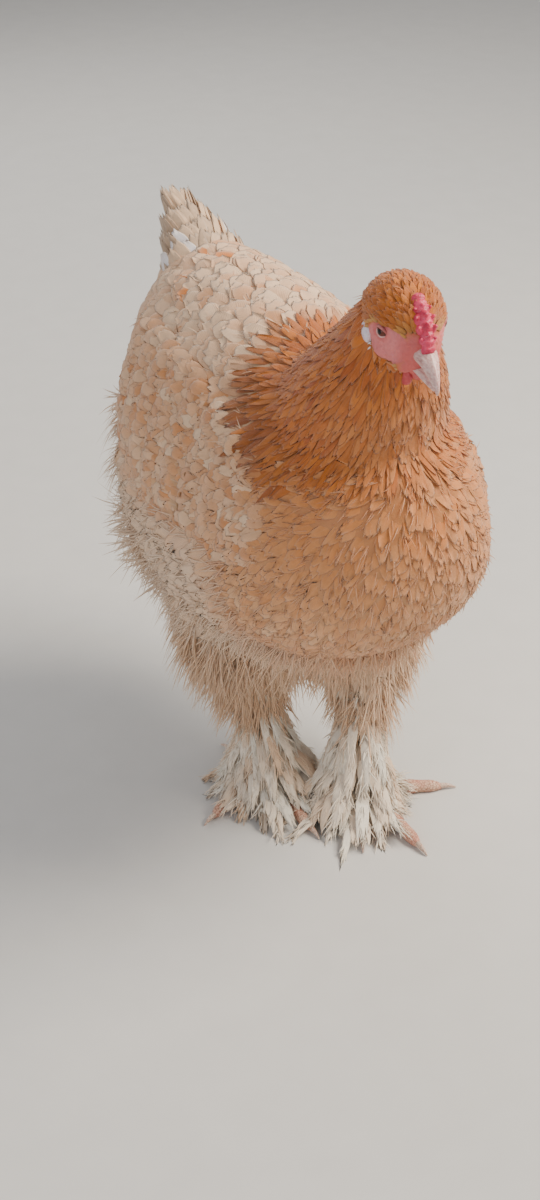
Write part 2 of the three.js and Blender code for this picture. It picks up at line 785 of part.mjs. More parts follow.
const tailSolid = union([solid(wrap(tailCore, 14, 5)), ...tailVanes().map((one) => solid(one))]);
const wingsGrown = union([...wings.left, ...wings.right].map((one) => swell(one)));
add('tail', tailSolid.subtract(torsoGrown).subtract(wingsGrown), 'tail');

// Each toe starts clear of the shanks and of the toes before it, and the feathering is cut clear of them all
const shanks = { left: shank(FEET.left), right: shank(FEET.right) };
let taken = swell(shanks.left).add(swell(shanks.right));
const toesGrown = [];
for (const [name, leg] of Object.entries(FEET)) {
  for (const one of TOES) {
    const geometry = toe(leg, one);
    add(`toe_${one.name}_${name}`, solid(geometry).subtract(taken), 'toe');
    toesGrown.push(swell(geometry));
    taken = taken.add(swell(geometry));
  }
}
let legsTaken = union([torsoGrown, ...toesGrown]);
for (const [name, leg] of Object.entries(FEET)) {
  const feathers = bootVanes(leg);
  const footing = union([solid(shanks[name]), ...feathers.map((one) => solid(one))]);
  const other = name === 'left' ? 'right' : 'left';
  const clear = union([legsTaken, thighsGrown, swell(shanks[other])]);
  add(`thigh_${name}`, solid(thighs[name]).subtract(legsTaken), 'cream');
  add(`shank_${name}`, footing.subtract(clear), 'cream');
  legsTaken = union([legsTaken, swell(thighs[name]), ...feathers.map((one) => swell(one))]);
}

// The origin is set under the middle of the whole hen's box, on the floor
const box = new THREE.Box3().setFromObject(group);
group.position.set(-(box.min.x + box.max.x) / 2, -(box.min.y + box.max.y) / 2, -box.min.z);

export default group;
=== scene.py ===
import math
from itertools import product

import bmesh
import bpy
import numpy as np
from mathutils import Euler, Matrix, Vector, noise
from mathutils.bvhtree import BVHTree


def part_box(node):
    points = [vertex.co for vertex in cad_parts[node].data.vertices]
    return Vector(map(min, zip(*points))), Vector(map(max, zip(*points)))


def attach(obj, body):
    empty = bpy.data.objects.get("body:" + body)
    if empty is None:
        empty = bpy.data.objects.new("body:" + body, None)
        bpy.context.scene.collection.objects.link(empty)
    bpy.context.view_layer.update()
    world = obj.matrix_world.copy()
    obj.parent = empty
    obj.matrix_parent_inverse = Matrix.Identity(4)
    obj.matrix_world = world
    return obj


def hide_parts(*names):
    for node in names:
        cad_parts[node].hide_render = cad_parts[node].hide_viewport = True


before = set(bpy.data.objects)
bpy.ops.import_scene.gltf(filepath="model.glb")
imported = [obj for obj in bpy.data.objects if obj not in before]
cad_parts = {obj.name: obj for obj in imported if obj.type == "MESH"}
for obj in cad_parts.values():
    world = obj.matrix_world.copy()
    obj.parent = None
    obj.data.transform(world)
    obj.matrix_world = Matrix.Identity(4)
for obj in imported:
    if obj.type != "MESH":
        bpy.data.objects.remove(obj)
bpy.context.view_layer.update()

# A buff Brahma hen at life size. Shapes are worked out in millimetres as the hen stands over its own feet,
# facing -Y with its left side at +X, and put into the frame's metres when a mesh is made.
MM = 0.001
rng = np.random.default_rng(11)

BREAST_FRONT = -196.0
torso_low, torso_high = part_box("torso")
SHIFT = np.array([(torso_low[0] + torso_high[0]) / 2, torso_low[1] - BREAST_FRONT * MM, 0.0])

# Camera, as high and as far as the hen was seen from
CAMERA_PLACE = (-600.6, -1149.6, 956.0)
CAMERA_DOWN = 32.0
CAMERA_TURN = -27.0
LENS = 60.0
SENSOR = 36.0

# Torso rings from breast to rump: place along Y, half width, top and bottom
TORSO_ROWS = [
    (-196, 0, 282, 282), (-188, 43, 326, 232), (-165, 74, 356, 196), (-124, 96, 376, 166),
    (-72, 107, 389, 144), (-12, 110, 396, 128), (48, 107, 399, 124), (98, 95, 398, 142),
    (134, 70, 394, 184), (156, 41, 386, 240), (166, 0, 334, 334),
]
TORSO_WIDEST = 0.38
COAT_DEPTH = 5.0

# Neck and tail: centre, half width and half depth. Head: place along Y, half width, top and bottom
NECK_ROWS = [
    (0, -84, 322, 68, 70), (-2, -112, 356, 65, 64), (-6, -136, 392, 53, 52),
    (-9, -152, 422, 39, 38), (-12, -165, 449, 27, 25), (-13, -172, 458, 20, 18),
]
NECK_SHARE = 0.86
TAIL_ROWS = [(0, 112, 350, 40, 29), (0, 142, 372, 31, 24), (0, 160, 386, 17, 15), (0, 168, 392, 3, 3)]
HEAD_PLACE = (-13, -179, 451)
HEAD_YAW = -8
HEAD_NOD = 10
HEAD_ROWS = [
    (32, 0, -4, -4), (27, 15, 14, -18), (14, 22.5, 24.5, -26), (-2, 23.5, 27.5, -28),
    (-16, 19.5, 23.5, -26), (-27, 13.5, 14.5, -21.5), (-34, 8, 6.5, -16), (-37, 0, -4, -4),
]
EYE_RADIUS = 5.4
EYE_PLACE = (17.0, -10.5, 3)
EYE_OPEN = (4.3, 3.2)
COMB_START = np.array([0, -14, 25.0])
COMB_END = np.array([0, -37, 3.5])
EAR_TUFTS = 60

# Wing: its span as shares of the torso, and its edges as degrees round it
WING_SPAN = (0.25, 0.93)
WING_TOP = [(38,), (52,), (34,)]
WING_BOTTOM = [(4,), (10,), (26,)]

# Feet, with how far the feathering fans out at each turn round the leg
FEET = {
    "left": dict(
        side=1, foot=(28, -75), hip=(54, -32), turn=4,
        fan=((-180, 1.15), (-130, 1.3), (-90, 1.0), (-50, 0.55), (0, 0.42), (60, 0.5), (120, 0.75),
             (180, 1.15)),
    ),
    "right": dict(
        side=-1, foot=(-33, -21), hip=(-54, -4), turn=3,
        fan=((-180, 0.7), (-130, 1.0), (-90, 1.35), (-50, 1.25), (0, 0.6), (60, 0.5), (120, 0.6),
             (180, 0.7)),
    ),
}
SIDES = (("left", 1), ("right", -1))
THIGH_TOP = 196
HOCK = 96
TOES = {
    "middle": dict(angle=0, long=74, thick=7.6),
    "inner": dict(angle=-33, long=58, thick=7.0),
    "outer": dict(angle=66, long=60, thick=7.0),
    "hind": dict(angle=174, long=42, thick=6.4),
}
CLAW_LONG = 14
# The lowest places of the coat and of the toes over the floor
COAT_FLOOR = 0.2
TOE_FLOOR = 0.15

# Feathers: widths along each kind, the shares of a closed vane's grid, and the size of a patch on the unwrap
ROUND_TIP = (0.34, 0.8, 0.98, 1.0, 0.88, 0.5)
LONG_TIP = (0.4, 0.8, 1.0, 0.98, 0.86, 0.66, 0.22)
SOFT_TIP = (0.4, 0.8, 1.0, 0.94, 0.74, 0.3)
QUILL_TIP = (0.3, 0.7, 0.92, 1.0, 1.0, 0.96, 0.8, 0.4)
SMALL_TIP = (0.5, 0.95, 1.0, 0.75, 0.2)
COLUMNS = {5: np.array([-1, -0.86, 0, 0.86, 1]), 7: np.array([-1, -0.9, -0.5, 0, 0.5, 0.9, 1])}
ROWS = np.array([0, 0.2, 0.42, 0.64, 0.82, 0.95, 1.0])
PATCH = 0.003


def linear(r, g, b):
    """A colour as seen on a screen, in the light values that Blender works with."""
    return np.array([(c / 255 / 12.92 if c <= 10 else ((c / 255 + 0.055) / 1.055) ** 2.4) for c in (r, g, b)])


GOLD = linear(206, 116, 32)
GOLD_DEEP = linear(168, 82, 26)
# A darker gold for the lower hackle on the hen's right side: partly its own darker feathers, partly painted
# shade of that side
GOLD_DARK_AND_SHADE = linear(112, 68, 36)
BUFF = linear(203, 137, 86)
BUFF_PALE = linear(220, 174, 130)
CREAM = linear(228, 192, 156)
FLUFF = linear(226, 194, 164)
GREY_BROWN = linear(168, 142, 118)
BOOT = linear(240, 230, 212)
FACE = linear(216, 122, 120)
FACE_RED = linear(196, 84, 78)
WHITE = linear(240, 232, 230)


# Small helpers
def mixed(a, b, share):
    share = np.asarray(share)[..., None]
    return a * (1 - share) + b * share


def drawn(a, b, middle, spread, count):
    """Colours between a and b, each by a random share of its own."""
    return mixed(a, b, np.clip(rng.normal(middle, spread, count), 0, 1))


def smooth(low, high, value):
    t = np.clip((value - low) / (high - low), 0, 1)
    return t * t * (3 - 2 * t)


def unit(v):
    return v / np.maximum(np.linalg.norm(v, axis=-1, keepdims=True), 1e-9)


def turned(normals, ways, spread):
    """Ways along the skin, each turned a little at random."""
    return unit(ways + np.cross(normals, ways) * rng.normal(0, spread, (len(ways), 1)))


def to_frame(points):
    return np.asarray(points, dtype=float) * MM + SHIFT


def eased(rows, count):
    """A smooth run of count rows through the given ones."""
    rows = np.array(rows, dtype=float)
    ends = np.vstack([2 * rows[0] - rows[1], rows, 2 * rows[-1] - rows[-2]])
    out = []
    for share in np.linspace(0, len(rows) - 1, count):
        i = min(int(share), len(rows) - 2)
        t = share - i
        a, b, c, d = ends[i:i + 4]
        out.append(0.5 * (2 * b + (c - a) * t + (2 * a - 5 * b + 4 * c - d) * t * t
                          + (3 * b - a - 3 * c + d) * t ** 3))
    return np.array(out)


def between(rows, share):
    """One smooth value row at a share from 0 to 1."""
    fine = eased(rows, 201)
    place = np.clip(share, 0, 1) * 200
    i = np.minimum(place.astype(int), 199)
    return fine[i] + (fine[i + 1] - fine[i]) * (place - i)[..., None]


def placed(name, data):
    made = bpy.data.objects.new(name, data)
    bpy.context.scene.collection.objects.link(made)
    return made


# Camera and light
def set_camera():
    data = bpy.data.cameras.new("camera")
    data.lens = LENS
    data.sensor_width = SENSOR
    camera = placed("camera", data)
    camera.location = Vector(to_frame(CAMERA_PLACE))
    camera.rotation_euler = (math.radians(90 - CAMERA_DOWN), 0, math.radians(CAMERA_TURN))
    bpy.context.scene.camera = camera


def set_light():
    target = Vector(to_frame((0, -40, 220)))
    lamps = [
        ("key", (1000, -500, 1400), 0.9, 50, (1.0, 0.92, 0.8)),
        ("fill", (-1500, -900, 900), 1.6, 12, (0.92, 0.95, 1.0)),
        ("back", (200, 1500, 1200), 1.4, 12, (1.0, 0.98, 0.95)),
    ]
    for name, place, size, power, color in lamps:
        data = bpy.data.lights.new(name, "AREA")
        data.energy = power
        data.size = size
        data.color = color
        lamp = placed(name, data)
        lamp.location = Vector(to_frame(place))
        lamp.rotation_euler = (target - lamp.location).to_track_quat("-Z", "Y").to_euler()
    world = bpy.data.worlds.new("studio")
    world.use_nodes = True
    sky = world.node_tree.nodes["Background"]
    sky.inputs["Color"].default_value = (0.93, 0.95, 1.0, 1)
    sky.inputs["Strength"].default_value = 0.42
    bpy.context.scene.world = world


# Materials
class Val:
    """A shader socket that takes part in sums, so that node maths reads as an expression."""

    def __init__(self, paint, socket):
        self.paint = paint
        self.socket = socket

    def maths(self, operation, *values):
        return self.paint.node("ShaderNodeMath", {"operation": operation}, dict(enumerate(values)))

    def __add__(self, other):
        return self.maths("ADD", self, other)

    def __sub__(self, other):
        return self.maths("SUBTRACT", self, other)

    def __mul__(self, other):
        return self.maths("MULTIPLY", self, other)

    def __rsub__(self, other):
        return self.maths("SUBTRACT", other, self)

    __radd__ = __add__

    def power(self, other):
        return self.maths("POWER", self, other)

    def sine(self):
        return self.maths("SINE", self)

    def size(self):
        return self.maths("ABSOLUTE", self)

    def step(self, low, high):
        values = {"Value": self, "From Min": low, "From Max": high}
        return self.paint.node("ShaderNodeMapRange", {"interpolation_type": "SMOOTHSTEP"}, values)


class Paint:
    """One material: its shader, its fixed values, and nodes made by one method."""

    def __init__(self, name, roughness, **fixed):
        self.material = bpy.data.materials.new(name)
        self.material.use_nodes = True
        self.tree = self.material.node_tree
        self.shader = self.tree.nodes["Principled BSDF"]
        for socket, value in dict(fixed, Roughness=roughness).items():
            self.shader.inputs[socket.replace("_", " ")].default_value = value
        self.where = self.node("ShaderNodeTexCoord", {}, {}, "Object")

    def node(self, kind, settings, values, output=0):
        made = self.tree.nodes.new(kind)
        for key, value in settings.items():
            setattr(made, key, value)
        for key, value in values.items():
            if isinstance(value, Val):
                self.tree.links.new(value.socket, made.inputs[key])
            else:
                made.inputs[key].default_value = value
        return Val(self, made.outputs[output])

    def attribute(self, name, output="Color"):
        return self.node("ShaderNodeAttribute", {"attribute_name": name}, {}, output)

    def noise(self, scale, detail, vector=None):
        values = {"Vector": vector or self.where, "Scale": scale, "Detail": detail}
        return self.node("ShaderNodeTexNoise", {}, values, "Fac")

    def mix(self, share, a, b, blend="MIX"):
        colors = {key: value if isinstance(value, Val) else (*value, 1.0) for key, value in ((6, a), (7, b))}
        return self.node("ShaderNodeMix", {"data_type": "RGBA", "blend_type": blend}, {0: share, **colors}, 2)

    def brighten(self, color, factor):
        grey = self.node("ShaderNodeCombineColor", {}, {0: factor, 1: factor, 2: factor})
        return self.mix(1.0, color, grey, "MULTIPLY")

    def done(self, color, roughness=None, bump=None):
        """Joins what varies to the shader, and gives the material."""
        wires = {"Base Color": color, "Roughness": roughness}
        if bump:
            values = dict(zip(("Height", "Strength", "Distance"), bump))
            wires["Normal"] = self.node("ShaderNodeBump", {}, values)
        for socket, value in wires.items():
            if value:
                self.tree.links.new(value.socket, self.shader.inputs[socket])
        return self.material


def feather_paint(name, barbs=90.0, edge=0.35, shaft=0.5, mottle=0.16, roughness=0.72):
    """Barbs slanting from a pale shaft, paler edges, and soft mottling over the plumage's own colour."""
    paint = Paint(name, roughness, Sheen_Weight=0.25, Sheen_Roughness=0.5, Specular_IOR_Level=0.25)
    vane = paint.node("ShaderNodeUVMap", {"uv_map": "vane"}, {})
    parts = paint.node("ShaderNodeSeparateXYZ", {}, {0: vane}).socket.node.outputs
    across, along = Val(paint, parts[0]), Val(paint, parts[1])
    off = (across - 0.5).size() * 2
    lines = (along * barbs - off * (barbs * 0.42)).sine() * 0.5 + 0.5
    patches = paint.noise(130.0, 4.0)
    fine = paint.noise(900.0, 2.0)
    tone = 1 + (patches - 0.5) * (mottle * 2) + (lines - 0.5) * 0.13 + (fine - 0.5) * 0.2
    rim = (off.power(2) * 0.5 + along.power(4) * 0.8).step(0.2, 1.3) * edge
    color = paint.mix(rim, paint.brighten(paint.attribute("plume"), tone), FLUFF)
    quill = (1 - off.step(0.03, 0.1)) * (1 - along) * shaft
    return paint.done(paint.mix(quill, color, WHITE), bump=(lines * 0.7 + fine * 0.5, 0.45, 0.0005))


def down_paint():
    paint = Paint("down_paint", 0.85, Sheen_Weight=0.4, Sheen_Roughness=0.6, Specular_IOR_Level=0.15)
    return paint.done(paint.brighten(paint.attribute("plume"), 0.9 + paint.noise(260.0, 3.0) * 0.22))


def skin_paint():
    """Bare pink skin on the face, with pores and fine folds; under the coat it has the coat's own colours
    darkened, as painted shade beneath the feathers.
    """
    paint = Paint("skin_paint", 0.55, Subsurface_Weight=0.12, Subsurface_Scale=0.004)
    spots = paint.noise(420.0, 4.0)
    color = paint.brighten(paint.attribute("plume"), 0.84 + spots * 0.18 + paint.noise(60.0, 2.0) * 0.14)
    return paint.done(color, 0.42 + spots * 0.22, (paint.noise(800.0, 5.0) + spots * 0.6, 0.5, 0.0007))


def flesh_paint(name, color, dark, pale, roughness):
    paint = Paint(name, roughness, Subsurface_Weight=0.2, Subsurface_Scale=0.003, Coat_Roughness=0.35)
    grain = paint.noise(700.0, 4.0)
    patches = paint.noise(160.0, 3.0)
    tone = paint.mix(patches.step(0.35, 0.7), linear(*dark), linear(*color))
    tone = paint.mix(grain.step(0.55, 0.8) * 0.5, tone, linear(*pale))
    return paint.done(tone, roughness - 0.1 + grain * 0.25, (grain + patches * 0.7, 0.45, 0.0006))


def horn_paint(name, color, dark, streaks):
    """Horn with fine growth lines along it, lightened and darkened in soft patches."""
    paint = Paint(name, 0.34, Coat_Roughness=0.2, Subsurface_Weight=0.1, Subsurface_Scale=0.002)
    stretched = paint.node("ShaderNodeMapping", {}, {"Vector": paint.where, "Scale": (1.0, 0.25, 1.0)})
    lines = paint.noise(streaks, 4.0, stretched)
    tone = paint.mix(lines.step(0.3, 0.75), linear(*dark), linear(*color))
    tone = paint.brighten(tone, 0.88 + paint.noise(120.0, 3.0) * 0.24)
    return paint.done(tone, 0.26 + lines * 0.2, (lines, 0.25, 0.0003))


def eye_paint():
    """A dark pupil in a red-brown iris with fine radial streaks, by the distance from its middle."""
    paint = Paint("eye_paint", 0.16, Coat_Weight=0.35, Coat_Roughness=0.02, Specular_IOR_Level=0.25)
    radius = paint.attribute("gaze", "Fac")
    streaks = paint.noise(1500.0, 3.0)
    iris = paint.mix(streaks, linear(54, 17, 10), linear(122, 48, 24))
    iris = paint.mix((radius + streaks * 0.06).step(0.30, 0.36), linear(8, 5, 5), iris)
    return paint.done(paint.mix(radius.step(0.62, 0.74), iris, linear(30, 12, 9)))


def toe_paint():
    paint = Paint("toe_paint", 0.5, Specular_IOR_Level=0.4)
    grid = {"Vector": paint.where, "Scale": 420.0}
    cells = paint.node("ShaderNodeTexVoronoi", {"feature": "DISTANCE_TO_EDGE"}, grid, "Distance")
    tone = paint.mix(paint.noise(120.0, 4.0).step(0.35, 0.7), linear(206, 142, 120), linear(232, 196, 166))
    tone = paint.mix(1 - cells.step(0.0, 0.12), tone, linear(168, 112, 92))
    return paint.done(tone, bump=(cells.step(0.0, 0.2), 0.6, 0.0005))


def floor_paint():
    paint = Paint("floor_paint", 0.9)
    return paint.done(paint.mix(paint.noise(30.0, 3.0), linear(206, 203, 198), linear(214, 211, 206)))


# Meshes: rings joined by bridges, and joined solids made one skin
def link(name, mesh, material, slot, *nodes):
    """A finished piece: it rides on the body and stands for the nodes; its slot is not used."""
    mesh.polygons.foreach_set("use_smooth", [True] * len(mesh.polygons))
    mesh.materials.clear()
    mesh.materials.append(material)
    piece = placed(name, mesh)
    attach(piece, "root")
    if nodes:
        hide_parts(*nodes)


def mesh_of(bm, name="raw", recalc=True):
    """The mesh of a finished bmesh, with its faces turned outwards where they may not be yet."""
    if recalc:
        bmesh.ops.recalc_face_normals(bm, faces=bm.faces)
    mesh = bpy.data.meshes.new(name)
    bm.to_mesh(mesh)
    bm.free()
    return mesh


def rim_edges(verts):
    inside = set(verts)
    edges = {e for v in verts for e in v.link_edges if all(w in inside for w in e.verts)}
    return [e for e in edges if len(e.link_faces) < 2 and not e.verts[0].co == e.verts[1].co]


def loft(bm, frames, segments):
    """Bridges circles that each matrix places, and closes both ends."""
    rows = [bmesh.ops.create_circle(bm, radius=1.0, segments=segments, matrix=m)["verts"] for m in frames]
    for first, second in zip(rows, rows[1:]):
        bmesh.ops.bridge_loops(bm, edges=rim_edges(first) + rim_edges(second))
    for end in (rows[0], rows[-1]):
        bmesh.ops.holes_fill(bm, edges=rim_edges(end), sides=segments + 1)
    return rows


def axes(*ways):
    """A matrix with the given ways as its axes."""
    return Matrix([Vector(way) for way in ways]).transposed().to_4x4()


def sweep(bm, rows, count, segments, grow=0.0):
    """A loft with rings square to a path: rows give the centre, half width and half depth."""
    fine = eased(rows, count)
    frames = []
    for i, (x, y, z, wide, deep) in enumerate(fine):
        along = Vector(fine[min(i + 1, count - 1)][:3] - fine[max(i - 1, 0)][:3]).normalized()
        over = Vector((1, 0, 0)).cross(along).normalized()
        spot = axes(along.cross(over), over, along)
        spot.translation = (x, y, z)
        frames.append(spot @ Matrix.Diagonal((max(wide + grow, 0.3), max(deep + grow, 0.3), 1, 1)))
    loft(bm, frames, segments)


def upright_loft(bm, rows, widest, count, segments, grow):
    """Rings across Y, each an egg whose widest place is a share of its height."""
    fine = eased(rows, count)
    middles = [bottom + (top - bottom) * widest for _, _, top, bottom in fine]
    upright = Matrix.Rotation(math.pi / 2, 4, "X")
    frames = [Matrix.Translation((0, row[0], middle)) @ upright for row, middle in zip(fine, middles)]
    for (_, wide, top, bottom), middle, verts in zip(fine, middles, loft(bm, frames, segments)):
        for v in verts:
            up = v.co.z - middle
            tall = top - middle if up > 0 else middle - bottom
            v.co.x *= max(wide + grow, 0.5)
            v.co.z = middle + up * max(tall + grow, 0.5)


def ball(bm, size, place, turn=(0, 0, 0), detail=24):
    """A ball stretched to a size, turned by degrees and put in its place."""
    spin = Euler([math.radians(degrees) for degrees in turn]).to_matrix().to_4x4()
    matrix = Matrix.Translation(Vector(place)) @ spin @ Matrix.Diagonal((*size, 1))
    bmesh.ops.create_uvsphere(bm, u_segments=detail, v_segments=detail // 2, radius=1.0, matrix=matrix)


def one_skin(bm, voxel, smoothing):
    """Closed shapes that overlap become one closed skin, still in millimetres."""
    shape = placed("raw", mesh_of(bm))
    remesh = shape.modifiers.new("remesh", "REMESH")
    remesh.mode = "VOXEL"
    remesh.voxel_size = voxel
    soften = shape.modifiers.new("soften", "SMOOTH")
    soften.factor = 0.5
    soften.iterations = smoothing
    graph = bpy.context.evaluated_depsgraph_get()
    done = bpy.data.meshes.new_from_object(shape.evaluated_get(graph))
    bpy.data.objects.remove(shape)
    return done


def points_of(mesh, kind="co"):
    out = np.empty(len(mesh.vertices) * 3)
    mesh.vertices.foreach_get(kind, out)
    return out.reshape(-1, 3)


def set_points(mesh, points):
    mesh.vertices.foreach_set("co", np.asarray(points, dtype=np.float32).ravel())
    mesh.update()


def paint_points(mesh, colors):
    layer = mesh.color_attributes.new("plume", "FLOAT_COLOR", "POINT")
    full = np.hstack([colors, np.ones((len(colors), 1))]).astype(np.float32)
    layer.data.foreach_set("color", full.ravel())


def grain_of(points, scale):
    return np.array([noise.noise(Vector(p) * scale) for p in points])


HEAD_MATRIX = (
    Matrix.Translation(HEAD_PLACE)
    @ Matrix.Rotation(math.radians(HEAD_YAW), 4, "Z")
    @ Matrix.Rotation(math.radians(HEAD_NOD), 4, "X")
)
HEAD_TURN = np.array(HEAD_MATRIX.to_3x3())


def on_head(points):
    return np.asarray(points, dtype=float) @ HEAD_TURN.T + np.array(HEAD_PLACE)


def off_head(points):
    return (np.asarray(points, dtype=float) - np.array(HEAD_PLACE)) @ HEAD_TURN


# Places on the torso, for the wings
def torso_spot(share, angle):
    y, wide, top, bottom = between(TORSO_ROWS, np.asarray(share, dtype=float)).T
    middle = bottom + (top - bottom) * TORSO_WIDEST
    tall = np.where(np.sin(angle) > 0, top - middle, middle - bottom)
    return np.stack([wide * np.cos(angle), y, middle + tall * np.sin(angle)], -1)


def torso_normal(share, angle):
    step = 0.004
    along = torso_spot(share + step, angle) - torso_spot(share - step, angle)
    round_it = torso_spot(share, angle + step) - torso_spot(share, angle - step)
    return unit(np.cross(along, round_it))


def wing_edges(along):
    """The wing's middle and half width at shares along it, in degrees round the torso, and its rounding."""
    top, bottom = (between(rows, along)[..., 0] for rows in (WING_TOP, WING_BOTTOM))
    return (top + bottom) / 2, (top - bottom) / 2, np.sqrt(np.maximum(1 - (2 * along - 1) ** 4, 0.02))


def wing_spot(side, along, across):
    """A place and normal on the wing: share along it, and from -1 at its lower edge to 1 at its upper one."""
    along, across = np.asarray(along, dtype=float), np.asarray(across, dtype=float)
    middle, half, rounding = wing_edges(along)
    degrees = middle + across * half * rounding
    angle = np.radians(degrees if side > 0 else 180 - degrees)
    share = WING_SPAN[0] + (WING_SPAN[1] - WING_SPAN[0]) * along
    return torso_spot(share, angle), torso_normal(share, angle), rounding


def wing_share(p):
    """Where places lie on the wing of their side: share along it, and from -1 to 1 across it."""
    x, y, z = p.T
    shares = np.linspace(0, 1, 201)
    rows = between(TORSO_ROWS, shares)
    share = np.interp(y, rows[:, 0], shares)
    wide, top, bottom = (np.interp(share, shares, rows[:, k]) for k in (1, 2, 3))
    up = z - bottom - (top - bottom) * TORSO_WIDEST
    tall = (top - bottom) * np.where(up > 0, 1 - TORSO_WIDEST, TORSO_WIDEST)
    degrees = np.degrees(np.arctan2(up / np.maximum(tall, 1), np.abs(x) / np.maximum(wide, 1)))
    along = (share - WING_SPAN[0]) / (WING_SPAN[1] - WING_SPAN[0])
    middle, half, rounding = wing_edges(np.clip(along, 0, 1))
    return along, (degrees - middle) / (half * rounding)


def leg_axis(leg, high):
    (x, y), (hip_x, hip_y) = leg["foot"], leg["hip"]
    share = np.clip((high - 15) / (HOCK - 15), 0, 1)
    return np.array([x + (hip_x - x) * 0.15 * share, y + (hip_y - y) * 0.28 * share, high])


def body_skin():
    """Torso, neck, wings' shields, tail's root, thighs and shanks as one skin under the coat."""
    bm = bmesh.new()
    upright_loft(bm, TORSO_ROWS, TORSO_WIDEST, 40, 40, -COAT_DEPTH)
    sweep(bm, [(x, y, z, wide * NECK_SHARE, deep * NECK_SHARE) for x, y, z, wide, deep in NECK_ROWS], 24, 32)
    sweep(bm, TAIL_ROWS, 14, 24, -3)
    for side in (1, -1):
        for along in np.linspace(0.08, 0.86, 12):
            for across in np.linspace(-0.7, 0.7, 6):
                spot, normal, rounding = wing_spot(side, along, across)
                size = 15 * rounding * (1 - 0.3 * across * across)
                ball(bm, (size, size, size), spot - normal * (size - 0.5), detail=10)
    for leg in FEET.values():
        (x, y), (hx, hy) = leg["foot"], leg["hip"]
        rows = [
            (hx, hy, THIGH_TOP, 44, 50), (hx + (x - hx) * 0.2, hy + (y - hy) * 0.1, 161, 40, 45),
            ((x + hx) / 2, (y + hy) / 2, 126, 29, 32),
            (hx + (x - hx) * 0.85, hy + (y - hy) * 0.75, HOCK, 17, 18),
            (*leg_axis(leg, 60), 13, 13), (*leg_axis(leg, 30), 12, 12),
            (x, y, 14, 12, 13), (x, y, 4, 11, 12), (x, y, 0.4, 8, 9),
        ]
        sweep(bm, rows, 30, 24)
    return one_skin(bm, 4.0, 6)


def eye_ways(side):
    """Where an eye sits in the head's frame, and its own directions: out along its gaze, forwards and up."""
    out = unit(np.array([side * 0.93, -0.34, 0.1]))
    fore = unit(np.array([0, -1.0, 0]) + out * out[1])
    return np.array([side, 1, 1]) * EYE_PLACE, out, fore, np.cross(out, fore) * -side


def head_skin():
    """The head in its own frame: skull, brows, cheeks and throat as one skin that closes round the eyes."""
    bm = bmesh.new()
    upright_loft(bm, HEAD_ROWS, 0.5, 30, 36, -0.6)
    for side in (1, -1):
        ball(bm, (3.4, 9.5, 3.0), (side * 16.3, -11, 9.8), (8, 0, side * -16))
        ball(bm, (5.5, 11, 8.5), (side * 15.5, -4, -12), (-12, 0, 0))
        ball(bm, (4.0, 7, 5.0), (side * 10.5, -24, -14), (0, 0, side * -20))
        ball(bm, (3.0, 7.0, 3.2), (side * 15.2, -14, -4.5), (10, 0, side * -16))
    ball(bm, (7, 9, 6.5), (0, -24, -19))
    mesh = one_skin(bm, 0.85, 5)
    points = points_of(mesh)
    bare = bare_share(points)
    wrinkle = np.zeros(len(points))
    for i in np.nonzero(bare > 0.02)[0]:
        p = Vector(points[i])
        away = math.hypot(p.y - EYE_PLACE[1], p.z - EYE_PLACE[2])
        fold = math.sin(away * 2.1 + 1.8 * noise.noise(p * 0.2)) * math.exp(-away / 12)
        wrinkle[i] = 0.5 * fold + 0.7 * noise.noise(p * 0.4) + 0.4 * noise.noise(p * 1.1)
    points = points + points_of(mesh, "normal") * (wrinkle * bare)[:, None]
    rim = math.sqrt(EYE_RADIUS ** 2 - EYE_OPEN[0] * EYE_OPEN[1])
    for side in (1, -1):
        place, *ways = eye_ways(side)
        deep, ahead, high = ((points - place) @ way for way in ways)
        off = np.hypot(ahead / EYE_OPEN[0], high / EYE_OPEN[1])
        closed = rim + 0.1 + (deep - rim - 0.1) * smooth(1.0, 2.1, off)
        wanted = np.where(off < 1, np.minimum(deep, 1.5), closed)
        points = points + ways[0] * (np.where((deep > -2) & (off < 2.1), wanted, deep) - deep)[:, None]
    set_points(mesh, points)
    return mesh


def bare_share(local):
    """How bare the face is at a place in the head's own frame: round the eye and down to the bill."""
    y, z = local[:, 1], local[:, 2]
    around = ((y + 14) / 17.5) ** 2 + ((z + 4.5 + (y + 14) * 0.14) / 13.6) ** 2
    front = smooth(-24, -30, y) * smooth(14, 6, z)
    return np.clip(np.maximum(1 - smooth(0.82, 1.08, around), front), 0, 1)


# The coat: where feathers grow, which way they lie and their colours
DOWN = down_paint()
HACKLE = feather_paint("hackle_feather_paint", barbs=150.0, edge=0.12, shaft=0.08, mottle=0.24, roughness=0.5)
NECK_FOOT = np.array([0.0, -84.0, 322.0])
NECK_HEAD = np.array([-12.0, -165.0, 449.0])
NECK_AXIS = NECK_HEAD - NECK_FOOT


def neck_place(p):
    """Share along the neck and distance from its axis beyond the neck's own radius."""
    share = (p - NECK_FOOT) @ NECK_AXIS / (NECK_AXIS @ NECK_AXIS)
    off = np.linalg.norm(p - NECK_FOOT - share[:, None] * NECK_AXIS, axis=1)
    return share, off - between([(row[3],) for row in NECK_ROWS[:5]], share)[:, 0]


def neck_share(p):
    share, beyond = neck_place(p)
    return smooth(0.02, 0.16, share) * smooth(6, -4, beyond)


def thigh_share(p):
    low = smooth(176, 132, p[:, 2])
    return np.clip(low + smooth(150, 110, p[:, 2]), 0, 1)


